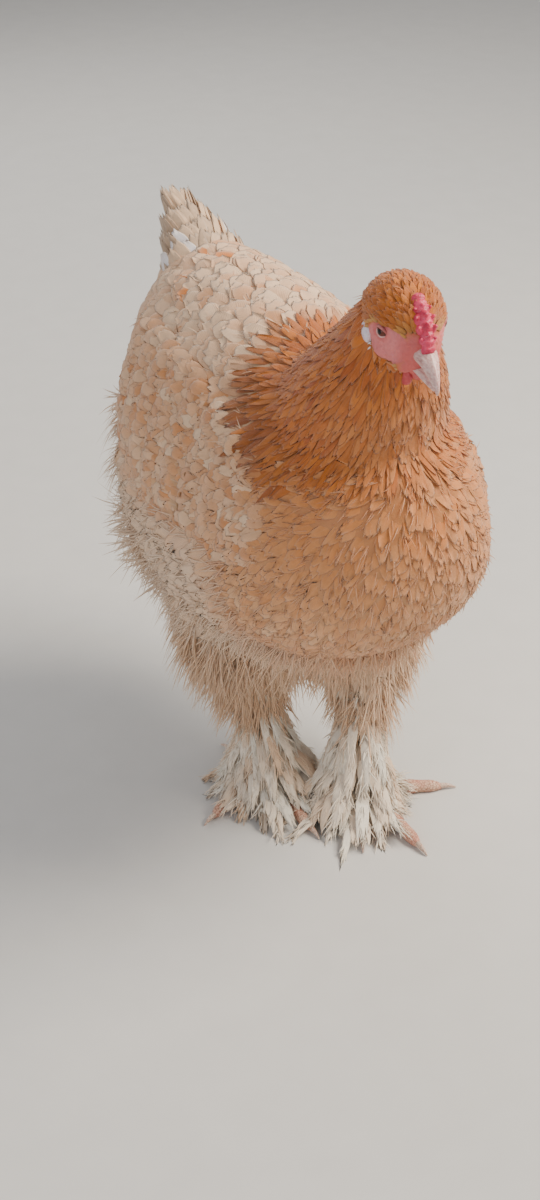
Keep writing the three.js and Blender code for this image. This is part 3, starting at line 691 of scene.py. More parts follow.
def lie(p, n):
    """The way that the coat lies at places with given normals, along the skin."""
    nx, ny, nz = n.T[..., None]
    way = (np.maximum(nz, 0) ** 1.5 * [0, 1, 0.05] + np.maximum(-nz, 0) * [0, 1, -0.1]
           + np.maximum(-ny, 0) ** 1.5 * [0, 0.25, -1.1] + np.abs(nx) * [0, 0.95, -0.5]
           + np.maximum(ny, 0) ** 2 * [0, 0.3, -0.9])
    tail = smooth(100, 150, p[:, 1]) * smooth(325, 360, p[:, 2])
    for share, own in ((tail, (0, 0.8, 0.6)), (thigh_share(p), (0, 0.25, -1.0)),
                       (neck_share(p), -NECK_AXIS / np.linalg.norm(NECK_AXIS))):
        way = mixed(way, np.array(own), share)
    return unit(way - n * np.sum(way * n, axis=1, keepdims=True))


def coat_color(p, n, spread):
    """The coat's colour at places, with a random share of its own for each feather."""
    chance = rng.random(len(p))
    tone = rng.normal(0, spread, len(p))
    x, y, z = p.T

    def shades(a, b, middle, play=1.0):
        return mixed(a, b, np.clip(middle + play * tone, 0, 1))

    back = smooth(0.25, 0.75, n[:, 2]) * smooth(250, 330, z) * smooth(-130, -70, y)
    low = np.maximum.reduce([
        smooth(225, 165, z) * smooth(-150, -95, y),
        smooth(278, 246, z) * smooth(-112, -78, y) * smooth(35, 60, np.abs(x)),
        smooth(60, 130, y) * smooth(320, 270, z),
    ])
    warm = smooth(175, 130, z) * smooth(-10, -40, y) * smooth(-110, -60, y - 60)
    rump = smooth(120, 150, y) * smooth(320, 350, z)
    # The lower hackle on the hen's right side is darkened: partly its own darker brown feathers, partly
    # painted shade of that side
    dark = smooth(0.5, 0.12, neck_place(p)[0]) * smooth(10, -40, x) * smooth(-160, -120, y)
    areas = [
        (smooth(-90, -160, y) * smooth(230, 330, z), shades(BUFF, GOLD, 0.3)),
        (back, shades(CREAM, BUFF, 0.28, 1.2)),
        (low, shades(FLUFF, CREAM, 0.3)),
        (warm * 0.45, shades(BUFF_PALE, BUFF, 0.3)),
        (rump * 0.8, shades(CREAM, GREY_BROWN, 0.45)),
        (neck_share(p), mixed(shades(GOLD, GOLD_DEEP, 0.4, 1.3), GOLD_DARK_AND_SHADE, dark * 0.55)),
    ]
    color = shades(BUFF, BUFF_PALE, 0.35)
    for share, own in areas:
        color = mixed(color, own, share)
    color[(chance > 0.975) & (back > 0.4)] = GOLD
    return color


def scattered(points, spacing, order):
    """Indices of points that keep a spacing, taken in the given order."""
    taken = {}
    kept = []
    for i in order:
        p = points[i]
        x, y, z = (p // spacing).astype(int)
        cells = ((x + dx, y + dy, z + dz) for dx, dy, dz in product((-1, 0, 1), repeat=3))
        gaps = (points[other] - p for cell in cells for other in taken.get(cell, ()))
        if all(dx * dx + dy * dy + dz * dz >= spacing * spacing for dx, dy, dz in gaps):
            taken.setdefault((x, y, z), []).append(i)
            kept.append(i)
    return np.array(kept)


class Ground:
    """The skin as the ground that feathers grow on: its points, and the nearest place on it."""

    def __init__(self, mesh):
        self.points = points_of(mesh)
        self.normals = points_of(mesh, "normal")
        faces = [tuple(p.vertices) for p in mesh.polygons]
        self.tree = BVHTree.FromPolygons([Vector(p) for p in self.points], faces)
        self.unwrap = unwrap_skin(mesh)

    def roots(self, spacing, where):
        """Evenly spread roots where feathers grow."""
        kept = scattered(self.points, spacing, rng.permutation(np.flatnonzero(where)))
        return self.points[kept], self.normals[kept]

    def walk(self, roots, ways, long, steps):
        """Middle lines that start at roots and follow the skin, with its normal at each step."""
        mids = np.empty((len(roots), steps, 3))
        ups = np.empty_like(mids)
        for i, (root, way) in enumerate(zip(roots, ways)):
            spot = Vector(root)
            heading = Vector(way)
            stride = long[i] / (steps - 1)
            for j in range(steps):
                near, normal = self.tree.find_nearest(spot)[:2]
                mids[i, j] = near
                ups[i, j] = normal
                heading -= normal * heading.dot(normal)
                heading.normalize()
                spot = near + heading * stride
        ups[:, 1:-1] = unit(ups[:, :-2] + ups[:, 1:-1] + ups[:, 2:])
        return mids, ups

    def patches(self, roots):
        """Where each root lies on the unwrap of the skin's own shape."""
        return np.array([self.unwrap[self.tree.find_nearest(Vector(root))[2]] for root in roots])


def unwrap_skin(mesh):
    """Unwraps a skin by its own shape and gives the middle of each face on that unwrap."""
    holder = placed("unwrap", mesh)
    bpy.context.view_layer.objects.active = holder
    holder.select_set(True)
    bpy.ops.object.mode_set(mode="EDIT")
    bpy.ops.mesh.select_all(action="SELECT")
    bpy.ops.uv.smart_project(angle_limit=math.radians(66), island_margin=0.004)
    bpy.ops.object.mode_set(mode="OBJECT")
    layer = mesh.uv_layers.active
    layer.name = "OFBake"
    loops = np.empty(len(mesh.loops) * 2)
    layer.data.foreach_get("uv", loops)
    loops = loops.reshape(-1, 2)
    middles = np.array([loops[p.loop_start:p.loop_start + p.loop_total].mean(axis=0) for p in mesh.polygons])
    bpy.data.objects.remove(holder)
    return middles


def sheet_mesh(name, verts, quads, vane_uv, bake_uv, colors):
    """One mesh of many small closed shapes over the floor, with its own maps and the colour of each."""
    verts[:, 2] = np.maximum(verts[:, 2], COAT_FLOOR)
    mesh = bpy.data.meshes.new(name)
    mesh.vertices.add(len(verts))
    mesh.vertices.foreach_set("co", to_frame(verts).astype(np.float32).ravel())
    mesh.loops.add(quads.size)
    mesh.loops.foreach_set("vertex_index", quads.ravel().astype(np.int32))
    mesh.polygons.add(len(quads))
    mesh.polygons.foreach_set("loop_start", np.arange(0, quads.size, 4, dtype=np.int32))
    mesh.update(calc_edges=True)
    for layer_name, uv in (("vane", vane_uv), ("OFBake", bake_uv)):
        layer = mesh.uv_layers.new(name=layer_name)
        layer.data.foreach_set("uv", uv[quads.ravel()].astype(np.float32).ravel())
    paint_points(mesh, colors)
    return mesh


def vane_template(columns, rows):
    """Closed vane: an upper and a lower grid that share their rim. Gives grid places and faces."""
    grid = [(u, v) for v in range(rows) for u in range(columns)]
    upper = {place: i for i, place in enumerate(grid)}
    inner = [(u, v) for (u, v) in grid if 0 < u < columns - 1 and 0 < v < rows - 1]
    lower = dict(upper)
    lower.update({place: len(grid) + i for i, place in enumerate(inner)})
    faces = []
    for v in range(rows - 1):
        for u in range(columns - 1):
            corners = [(u, v), (u + 1, v), (u + 1, v + 1), (u, v + 1)]
            faces.append([upper[c] for c in corners])
            faces.append([lower[c] for c in reversed(corners)])
    return np.array(grid + inner), len(grid), np.array(faces)


def at_shares(lines, shares):
    """Lines of evenly spaced places, read at other shares of their length."""
    place = shares * (lines.shape[1] - 1)
    i = np.minimum(place.astype(int), lines.shape[1] - 2)
    t = (place - i)[None, :, None]
    return lines[:, i] * (1 - t) + lines[:, i + 1] * t


def vanes(name, finish, mids, ups, wide, outline, colors, patches, lift=(0.0, 3.0), cup=0.05, fray=0.12,
          thick=0.22, columns=7, roll=0.0, shade=0.8):
    """Feathers along middle lines: each is cupped over its line, frayed at its tip and a little turned."""
    mids, ups = at_shares(mids, ROWS), at_shares(ups, ROWS)
    count, rows, _ = mids.shape
    places, upper_count, faces = vane_template(columns, rows)
    u = COLUMNS[columns][places[:, 0]]
    row = places[:, 1]
    v = ROWS[row]
    along = np.gradient(mids, axis=1)
    sides = unit(np.cross(along, ups))
    ups = unit(np.cross(sides, along))
    roll = np.radians(rng.normal(roll, 4, count))[:, None, None]
    sides, ups = sides * np.cos(roll) + ups * np.sin(roll), ups * np.cos(roll) - sides * np.sin(roll)
    half = (wide / 2)[:, None] * np.interp(v, np.linspace(0, 1, len(outline)), outline)
    rise = (lift[0] + (lift[1] - lift[0]) * v ** 1.2) * rng.uniform(0.75, 1.25, (count, 1))
    curve = -cup * half * u ** 2 * 2
    under = (np.arange(len(places)) >= upper_count) * -thick
    ragged = rng.normal(0, 1, (count, columns))[:, places[:, 0]]
    length = np.linalg.norm(mids[:, -1] - mids[:, 0], axis=1)[:, None]
    push = ragged * smooth(0.45, 1.0, v) * fray * length * 0.3
    verts = (mids[:, row] + sides[:, row] * (half * u)[..., None]
             + ups[:, row] * (rise + curve + under)[..., None] + unit(along)[:, row] * push[..., None])
    # Painted shade: each feather is darkened by shade towards its root, where the feather over it would shade
    # it, and is a little lighter at its tip
    tint = colors[:, None] * np.where(v < 0.7, shade + (1.04 - shade) * v / 0.7, 1.04)[:, None]
    uv = np.broadcast_to(np.stack([(u + 1) / 2, v], -1), (count, len(places), 2))
    bake = patches[:, None] + (uv - 0.5) * PATCH
    quads = faces + (np.arange(count) * len(places))[:, None, None]
    mesh = sheet_mesh(name, verts.reshape(-1, 3), quads.reshape(-1, 4), uv.reshape(-1, 2),
                      bake.reshape(-1, 2), tint.reshape(-1, 3))
    link(name, mesh, *finish)


def down(name, finish, roots, normals, ways, long, colors, patches, blades=6, width=1.5, spread=0.5,
         lean=0.5):
    """Tufts of down: soft, narrow closed blades that fan out from a root and droop along the coat."""
    rows = 4
    total = len(roots) * blades
    root, n, way, spot, tint, long = (
        np.repeat(values, blades, axis=0) for values in (roots, normals, ways, patches, colors, long)
    )
    side = unit(np.cross(n, way))
    fan = rng.normal(0, spread, total)[:, None]
    rise = np.abs(rng.normal(lean, 0.28, total))[:, None]
    start = unit(way + side * fan + n * rise)
    finish_way = unit(way + side * fan * 1.5 + n * rise * 0.25 + np.array([0, 0, -0.3]))
    reach = long * rng.uniform(0.6, 1.1, total)
    root = root + side * rng.normal(0, 1.6, (total, 1)) - n * 1.0
    v = np.linspace(0, 1, rows)
    t = v[:, None]
    bend = start[:, None] * t * (1 - t / 2) + finish_way[:, None] * t ** 2 / 2
    line = root[:, None] + bend * reach[:, None, None]
    half = (width * 0.5 * rng.uniform(0.6, 1.3, total))[:, None] * np.array([0.6, 1.0, 0.7, 0.08])
    across = unit(np.cross(start, n))[:, None] * half[..., None]
    top = line + n[:, None] * (half * 0.5)[..., None]
    verts = np.stack([line - across, line + across, top], axis=2).reshape(-1, 3)
    corners = [(3 * j + i, 3 * j + (i + 1) % 3) for j in range(rows - 1) for i in range(3)]
    quads = np.array([[a, b, b + 3, a + 3] for a, b in corners])
    quads = (quads + (np.arange(total) * rows * 3)[:, None, None]).reshape(-1, 4)
    uv = np.tile(np.stack([np.tile([0.0, 1.0, 0.5], rows), np.repeat(v, 3)], -1), (total, 1))
    tint = np.repeat(tint * rng.uniform(0.93, 1.07, (total, 1)), rows * 3, axis=0)
    bake = np.repeat(spot, rows * 3, axis=0) + (uv - 0.5) * PATCH
    link(name, sheet_mesh(name, verts, quads, uv, bake, tint), *finish)


def coat_piece(name, finish, ground, where, spacing, long, wide, outline, play=0.14, rear_share=1.0, **more):
    """One part of the coat: roots spread over the skin, each feather following the lie with a little play."""
    roots, normals = ground.roots(spacing, where)
    count = len(roots)
    ways = turned(normals, lie(roots, normals), play)
    lengths = long * rng.uniform(0.85, 1.12, count)
    lengths = lengths * (rear_share + (1 - rear_share) * smooth(0.3, -0.5, normals[:, 1]))
    mids, ups = ground.walk(roots, ways, lengths, len(outline))
    vanes(name, finish, mids, ups, wide * rng.uniform(0.88, 1.12, count), outline,
          coat_color(roots, normals, 0.2), ground.patches(roots), **more)


def down_piece(name, slot, ground, where, spacing, long, **more):
    roots, normals = ground.roots(spacing, where)
    down(name, (DOWN, slot), roots, normals, lie(roots, normals), long * rng.uniform(0.75, 1.2, len(roots)),
         coat_color(roots, normals, 0.2), ground.patches(roots), **more)


def loose_down(name, ground, where, spacing, long, outward, drop, pale, **more):
    """Down that stands off the coat and hangs, in the coat's own colours."""
    roots, normals = ground.roots(spacing, where)
    ways = unit(lie(roots, normals) + normals * outward + np.array([0, 0, -drop]))
    colors = mixed(coat_color(roots, normals, 0.25), CREAM, rng.uniform(*pale, len(roots)))
    down(name, (DOWN, "fluff_cream"), roots, normals, ways, rng.uniform(*long, len(roots)), colors,
         ground.patches(roots), **more)


def build_skin():
    body = body_skin()
    head = head_skin()
    body_ground = Ground(body)
    local = points_of(head)
    set_points(head, on_head(local))
    head_ground = Ground(head)
    # Painted shade: under the coat the skin takes the coat's colours darkened to 0.8, as if shaded by the
    # feathers over it
    paint_points(body, coat_color(body_ground.points, body_ground.normals, 0.0) * 0.8)
    eye_off = np.hypot((local[:, 1] - EYE_PLACE[1]) / 6.5, (local[:, 2] - EYE_PLACE[2]) / 5.5)
    flush = np.maximum(smooth(-20, -31, local[:, 1]), smooth(1.4, 0.8, eye_off) * 0.75)
    face = mixed(FACE, FACE_RED, flush * 0.8)
    paint_points(head, mixed(mixed(GOLD, GOLD_DEEP, 0.4), face, bare_share(local)))
    bm = bmesh.new()
    bm.from_mesh(body)
    bm.from_mesh(head)
    joined = mesh_of(bm, "skin", recalc=False)
    set_points(joined, to_frame(points_of(joined)))
    nodes = ["torso", "neck", "head"] + [f"{part}_{side}" for part in ("thigh", "shank") for side in FEET]
    link("skin", joined, skin_paint(), "face_skin", *nodes)
    return body_ground, head_ground


def build_coat(ground):
    p = ground.points
    x, y, z = p.T
    up_neck = neck_place(p)[0]
    rear_low = smooth(80, 125, y) * smooth(300, 250, z)
    belly = smooth(172, 150, z) * smooth(-150, -110, y)
    flank = smooth(272, 252, z) * smooth(-118, -84, y) * smooth(30, 55, np.abs(x))
    along, across = wing_share(p)
    wing = (along > 0.05) & (along < 0.82) & (across > -0.85) & (across < 0.7) & (np.abs(x) > 35)
    grows = (z > 96) & ~wing
    soft = np.maximum.reduce([thigh_share(p), rear_low, belly, flank]) > 0.5
    hackle = (neck_share(p) > 0.35) & (up_neck < 1.02)
    front = (y < -95) & ~hackle & ~soft & grows
    back = ~front & ~hackle & ~soft & grows
    fluff = soft & grows
    body_feather = feather_paint("body_feather_paint", edge=0.6, shaft=0.15, mottle=0.2)
    breast_feather = feather_paint("breast_feather_paint", edge=0.2, shaft=0.1, mottle=0.26)
    soft_feather = feather_paint("soft_feather_paint", edge=0.25, shaft=0.1, mottle=0.12, roughness=0.85)
    coat_piece("breast_feathers", (breast_feather, "plumage_buff"), ground, front, 5.3, 26, 10.5, SOFT_TIP,
               lift=(-1.2, 1.7), fray=0.22, columns=5, play=0.2, shade=0.88)
    coat_piece("back_feathers", (body_feather, "plumage_buff"), ground, back, 8.0, 31, 18.0, ROUND_TIP,
               lift=(-1.6, 2.6), fray=0.16)
    coat_piece("fluff_feathers", (soft_feather, "fluff_cream"), ground, fluff, 7.7, 35, 18.0, SOFT_TIP,
               lift=(-1.0, 5.5), fray=0.34, shade=1.0)
    down_piece("fluff_down", "fluff_cream", ground, fluff, 7.9, 26,
               blades=7, width=1.3, lean=0.34, spread=0.36)
    down_piece("breast_down", "plumage_buff", ground, front, 7.0, 15, width=0.9, lean=0.13, spread=0.3)
    down_piece("back_down", "plumage_buff", ground, back, 9.0, 17, blades=5, width=0.8, lean=0.12, spread=0.3)
    order = [("hackle_lower", 0.0, 0.36, 4.2, 40, 7.0), ("hackle_upper", 0.36, 1.02, 3.6, 31, 5.6)]
    for name, low, high, spacing, long, wide in order:
        part = hackle & (up_neck >= low) & (up_neck < high)
        coat_piece(name, (HACKLE, "hackle_gold"), ground, part, spacing, long, wide, LONG_TIP,
                   play=0.08, columns=5, lift=(-0.6, 2.4), fray=0.16, cup=0.08, rear_share=0.66)


def build_fringe(ground):
    """Long soft down that hangs from the thighs over the hocks, and loose down at flank and belly."""
    x, y, z = ground.points.T
    roots, normals = ground.roots(5.8, (z > 84) & (z < 158))
    count = len(roots)
    out = unit(normals * np.array([1, 1, 0]) + 1e-6)
    ways = unit(np.array([0, 0.1, -1.0]) + out * 0.22)
    long = np.minimum(rng.uniform(24, 50, count), roots[:, 2] - 28)
    colors = mixed(coat_color(roots, normals, 0.25), BUFF_PALE, rng.uniform(0.35, 0.75, count))
    down("thigh_fringe", (DOWN, "fluff_cream"), roots, out, ways, long, colors, ground.patches(roots),
         blades=12, width=1.4, spread=0.3, lean=0.14)
    flank = (np.abs(x) > 38) & (z > 120) & (((y > 100) & (z < 292)) | ((y > 30) & (z < 214)))
    loose_down("flank_down", ground, flank, 6.2, (28, 48), 0.55, 0.45, (0.0, 0.5),
               blades=8, width=1.2, spread=0.42, lean=0.22)
    loose_down("belly_down", ground, (z > 136) & (z < 192), 6.8, (18, 34), 0.25, 0.8, (0.0, 0.35),
               blades=8, width=1.2, spread=0.34, lean=0.18)


def build_wings(ground):
    """Folded wings: small coverts over the shield, then longer coverts and quills in tiers."""
    quill = feather_paint("wing_quill_paint", barbs=150.0, edge=0.4, shaft=0.16, mottle=0.28)
    covert = feather_paint("wing_covert_paint", edge=0.36, shaft=0.1, mottle=0.26)
    # Each tier: share along the wing, reach across it, count, length, width and height over the skin
    tiers = [
        (0.50, (-0.95, -0.8), 6, 112, 11, 1.2), (0.56, (-0.86, 0.62), 15, 84, 14, 1.4),
        (0.48, (-0.86, 0.66), 16, 58, 13, 1.7), (0.41, (-0.86, 0.7), 17, 46, 12, 2.0),
        (0.33, (-0.86, 0.74), 18, 38, 11, 2.2),
    ]
    grid = np.meshgrid(np.linspace(0.05, 0.62, 100), np.linspace(-0.9, 0.9, 80))
    grid_along, grid_across = grid[0].ravel(), grid[1].ravel()
    for name, side in SIDES:
        roots, ways, long, wide, base = [], [], [], [], []
        for along, (low, high), count, length, width, lift in tiers:
            across = np.linspace(low, high, count)
            place = along + rng.uniform(-0.03, 0.03, count)
            start = wing_spot(side, place, across)[0]
            way = unit(wing_spot(side, place + 0.05, across)[0] - start)
            way[:, 2] -= 0.14
            roots.append(start)
            ways.append(unit(way))
            long.append(length * rng.uniform(0.9, 1.08, count))
            wide.append(np.full(count, width))
            base.append(np.full(count, lift))
        roots = np.vstack(roots)
        mids, ups = ground.walk(roots, np.vstack(ways), np.hstack(long), len(QUILL_TIP))
        rise = np.linspace(0, 1, len(QUILL_TIP))[None, :, None] * 0.8
        mids = mids + ups * (np.hstack(base)[:, None, None] + rise)
        colors = drawn(BUFF, BUFF_PALE, 0.45, 0.26, len(roots))
        vanes(f"wing_quills_{name}", (quill, "plumage_buff", f"wing_{name}"), mids, ups, np.hstack(wide),
              QUILL_TIP, colors, ground.patches(roots), lift=(0.0, 0.9), fray=0.14, cup=0.08, thick=0.28,
              roll=9 * side, shade=0.78)
        spots, normals, _ = wing_spot(side, grid_along, grid_across)
        kept = scattered(spots, 5.4, rng.permutation(len(spots)))
        spots, normals = spots[kept], normals[kept]
        count = len(spots)
        way = turned(normals, lie(spots, normals), 0.16)
        mids, ups = ground.walk(spots, way, rng.uniform(19, 25, count), len(ROUND_TIP))
        mids = mids + ups * (smooth(0.24, 0.4, grid_along[kept]) * 2.6)[:, None, None]
        colors = drawn(drawn(BUFF, CREAM, 0.45, 0.25, count), GOLD_DEEP, 0.04, 0.1, count)
        vanes(f"wing_coverts_{name}", (covert, "plumage_buff"), mids, ups, rng.uniform(9.5, 12.5, count),
              ROUND_TIP, colors, ground.patches(spots), lift=(-0.4, 2.8), fray=0.22)


def free_lines(roots, tips, bulge, rows):
    """Middle lines in the open, from roots to tips, bowed out by bulge."""
    v = np.linspace(0, 1, rows)[None, :, None]
    return roots[:, None] * (1 - v) + tips[:, None] * v + bulge[:, None] * (4 * v * (1 - v))


def build_tail(ground):
    """A short raised tent of quills, with soft coverts in tiers round their roots."""
    quill = feather_paint("tail_quill_paint", barbs=150.0, edge=0.35, shaft=0.7, mottle=0.25)
    way = unit(np.array([0, 0.8, 0.6]))
    over = np.array([0, -0.6, 0.8])
    # Each tier: place along the tail, turns, count, length, width, roots' radius, and the tips' reach
    tiers = [
        (22, (-22, 86), 8, 54, 14, 11, 12, 6), (10, (-36, 84), 9, 48, 16, 19, 19, 13),
        (-2, (-46, 84), 10, 43, 18, 26, 26, 20), (-16, (-56, 82), 11, 40, 19, 31, 33, 27),
    ]
    start = np.array([0, 128.0, 362.0])
    roots, tips, faces, wide = [], [], [], []
    for along, (low, high), count, length, width, radius, across_out, over_out in tiers:
        for side in (1, -1):
            for turn in np.radians(np.linspace(low, high, count)):
                level, rise = np.array([side * math.cos(turn), 0, 0]), over * math.sin(turn)
                roots.append(start + way * along + (level + rise) * (radius - 6) * np.array([1.05, 0.9, 0.9]))
                reach = length * rng.uniform(0.9, 1.06)
                tips.append(start + way * (along + reach) + (level * across_out + rise * over_out))
                faces.append(level + rise)
                wide.append(width * rng.uniform(0.9, 1.1))
    roots, tips, faces = np.array(roots), np.array(tips), np.array(faces)
    mids = free_lines(roots, tips, faces * 2.5, len(LONG_TIP))
    ups = np.repeat(faces[:, None], len(LONG_TIP), axis=1)
    colors = drawn(CREAM, GREY_BROWN, 0.4, 0.3, len(roots))
    colors[rng.random(len(roots)) > 0.95] = WHITE
    vanes("tail_quills", (quill, "tail_feather", "tail"), mids, ups, np.array(wide), LONG_TIP, colors,
          ground.patches(roots), lift=(0.0, 0.5), cup=0.06, thick=0.3)


def build_boots(ground):
    """Feathers hang from the outer side of each shank and fan out over the foot, the longest on the floor."""
    quill = feather_paint("boot_feather_paint", barbs=80.0, edge=0.15, shaft=0.35, mottle=0.12, roughness=0.8)
    # Each tier: height, count, reach, height of the tips, width and bow
    tiers = [
        (84, 16, 24, 46, 7, 0.9), (72, 18, 29, 35, 8, 1.0), (60, 20, 34, 26, 10, 1.0),
        (49, 22, 40, 18, 11, 1.1), (39, 24, 45, 12, 10.5, 1.1), (30, 26, 50, 7, 10.5, 1.1),
        (22, 26, 55, 3.5, 10, 1.1), (15, 24, 60, 1.0, 9, 1.1),
    ]
    rows = 8
    stops = [1, 3, 4, 5, 6]
    for name, leg in FEET.items():
        roots, tips, bulges, wide = [], [], [], []
        fan_turns, fan_shares = np.array(leg["fan"]).T
        for high, count, reach, tip, width, bow in tiers:
            for degrees in np.linspace(-180, 180, count, endpoint=False) + rng.normal(0, 6, count):
                turn = math.radians(degrees)
                out = np.array([math.cos(turn), math.sin(turn), 0])
                far = reach * rng.uniform(0.82, 1.1) * np.interp(degrees, fan_turns, fan_shares)
                roots.append(leg_axis(leg, high) + out * 9)
                tips.append(np.array([*leg["foot"], tip]) + out * far)
                bulges.append(out * 7 * bow * far / 50 + np.array([0, 0, 2.0]))
                wide.append(width * rng.uniform(0.8, 1.15))
        roots, tips = np.array(roots), np.array(tips)
        mids = free_lines(roots, tips, np.array(bulges), rows)
        for j in range(1, rows):
            mids[:, j, 2] = np.maximum(mids[:, j, 2], toe_tops(leg, mids[:, j]))
        outs = unit((tips - roots) * np.array([1, 1, 0]))
        lateral = np.stack([-outs[:, 1], outs[:, 0], np.zeros(len(outs))], -1)
        ups = unit(np.cross(np.gradient(mids, axis=1), lateral[:, None]))
        ups = np.where(np.sum(ups * (outs[:, None] + [0, 0, 1]), axis=-1, keepdims=True) < 0, -ups, ups)
        colors = drawn(BOOT, CREAM, 0.25, 0.3, len(roots))
        patches = ground.patches(roots)
        vanes(f"boot_quills_{name}", (quill, "foot_feather"), mids, ups, np.array(wide), SOFT_TIP,
              colors, patches, lift=(0.0, 0.4), fray=0.3, cup=0.09, thick=0.26, shade=0.9)
        ways = unit(np.gradient(mids, axis=1))
        spots, outs, ways = (values[:, stops].reshape(-1, 3) for values in (mids + ups * 0.3, ups, ways))
        down(f"boot_down_{name}", (DOWN, "foot_feather"), spots, outs, ways, rng.uniform(11, 17, len(spots)),
             np.repeat(colors, len(stops), axis=0) * 1.02, np.repeat(patches, len(stops), axis=0),
             blades=4, width=1.0, spread=0.3, lean=0.12)
    z = ground.points[:, 2]
    roots, normals = ground.roots(5.2, (z > 20) & (z <= 112))
    ways = unit(normals * 0.25 + np.array([0, 0, -1.0]))
    colors = drawn(BOOT, CREAM, 0.2, 0.2, len(roots))
    down("shank_down", (DOWN, "foot_feather"), roots, normals, ways, rng.uniform(13, 21, len(roots)), colors,
         ground.patches(roots), blades=7, width=1.6, lean=0.35)


def toe_tops(leg, places):
    """The least height that keeps a feather over the toes at places, or nothing where it is clear of them."""
    least = np.full(len(places), 0.7)
    spot = places[:, :2] - np.array(leg["foot"])
    for one in TOES.values():
        turn = math.radians(leg["turn"] + one["angle"] * leg["side"])
        tip = np.array([math.sin(turn), -math.cos(turn)]) * (one["long"] + CLAW_LONG)
        share = np.clip(spot @ tip / (tip @ tip), 0, 1)
        off = np.linalg.norm(spot - share[:, None] * tip, axis=1)
        top = one["thick"] * (2.1 - 1.1 * share) + 0.8
        least = np.maximum(least, top * smooth(one["thick"] + 9, one["thick"] + 2, off))
    return least


# Head: comb, eyes, lids, lobes, wattles, bill and the small feathers of the crown and throat
def head_piece(shape, name, *finish):
    """Links a mesh or bmesh that was shaped in the head's own frame."""
    mesh = mesh_of(shape, name) if isinstance(shape, bmesh.types.BMesh) else shape
    set_points(mesh, to_frame(on_head(points_of(mesh))))
    link(name, mesh, *finish)


def build_comb(material):
    """A pea comb: three low rows of fused bulbs, the middle one the highest."""
    bm = bmesh.new()
    for row in (-1, 0, 1):
        for t in np.arange(6) / 5:
            swell = math.sin(math.pi * t)
            spot = COMB_START * (1 - t) + COMB_END * t
            spot[0] = row * 4.3 * (0.62 + 0.38 * swell)
            spot[1] -= 3.0 * swell
            spot[2] += 3.4 * swell - abs(row) * 1.5
            size = (3.7 if row == 0 else 2.9) * (0.74 + 0.3 * swell) * rng.uniform(0.88, 1.1)
            ball(bm, (size * 0.78, size * 0.8, size * 1.05), spot, (-40, 0, 0), 14)
            ball(bm, (size * 0.42,) * 3, spot + np.array([row * 1.2, -1.2, 1.9]) * size * 0.38, detail=10)
    for t in np.arange(9) / 8:
        spot = COMB_START * (1 - t) + COMB_END * t + np.array([0, -2.4, 2.6]) * math.sin(math.pi * t)
        ball(bm, (4.6, 3.4, 3.4), spot, detail=12)
    mesh = one_skin(bm, 0.42, 2)
    points = points_of(mesh)
    set_points(mesh, points + points_of(mesh, "normal") * grain_of(points, 1.6)[:, None] * 0.28)
    head_piece(mesh, "pea_comb", material, "comb_red", "comb")


def build_eyes(lid_material, rim_material):
    eye_material = eye_paint()
    # Each lid: its ends in degrees, height, thickness, how far it stands out, and its material
    lids = [
        ("upper", -8, 188, 0.96, 1.35, 0.3, lid_material), ("crease", 14, 168, 1.55, 0.8, -0.8, lid_material),
        ("lower", 186, 354, 0.98, 0.72, 0.1, rim_material), ("bag", 196, 344, 1.4, 0.9, -0.7, lid_material),
    ]
    for name, side in SIDES:
        place, out, fore, over = eye_ways(side)
        bm = bmesh.new()
        bmesh.ops.create_uvsphere(bm, u_segments=40, v_segments=28, radius=EYE_RADIUS)
        turn = Vector((0, 0, 1)).rotation_difference(Vector(out)).to_matrix()
        bmesh.ops.rotate(bm, verts=bm.verts, cent=(0, 0, 0), matrix=turn)
        mesh = mesh_of(bm, recalc=False)
        local = points_of(mesh)
        away = np.where(local @ out > 0, np.hypot(local @ fore, local @ over) / EYE_RADIUS, 1.0)
        set_points(mesh, local + out * (0.45 * smooth(0.8, 0.2, away))[:, None] + place)
        gaze = mesh.attributes.new("gaze", "FLOAT", "POINT")
        gaze.data.foreach_set("value", away.astype(np.float32))
        head_piece(mesh, f"eyeball_{name}", eye_material, "eye_gloss", f"eye_{name}")
        for lid, low, high, tall, thick, hood, material in lids:
            frames = []
            angles = np.radians(np.linspace(low, high, 26))
            for angle in angles:
                ahead = EYE_OPEN[0] * (1.04 if abs(hood) < 0.5 else 1.3) * math.cos(angle)
                up = EYE_OPEN[1] * tall * math.sin(angle)
                deep = math.sqrt(max(EYE_RADIUS ** 2 - ahead ** 2 - up ** 2, 4.0)) + hood
                along = unit(-fore * math.sin(angle) * EYE_OPEN[0]
                             + over * math.cos(angle) * EYE_OPEN[1] * tall)
                fade = 0.5 + 0.5 * math.sin(math.pi * (angle - angles[0]) / (angles[-1] - angles[0]))
                matrix = axes(out, unit(np.cross(along, out)), along)
                matrix.translation = Vector(place + fore * ahead + over * up + out * deep)
                frames.append(matrix @ Matrix.Diagonal((thick * fade, thick * 0.85 * fade, 1, 1)))
            bm = bmesh.new()
            loft(bm, frames, 10)
            head_piece(bm, f"{lid}_lid_{name}", material, "face_skin")


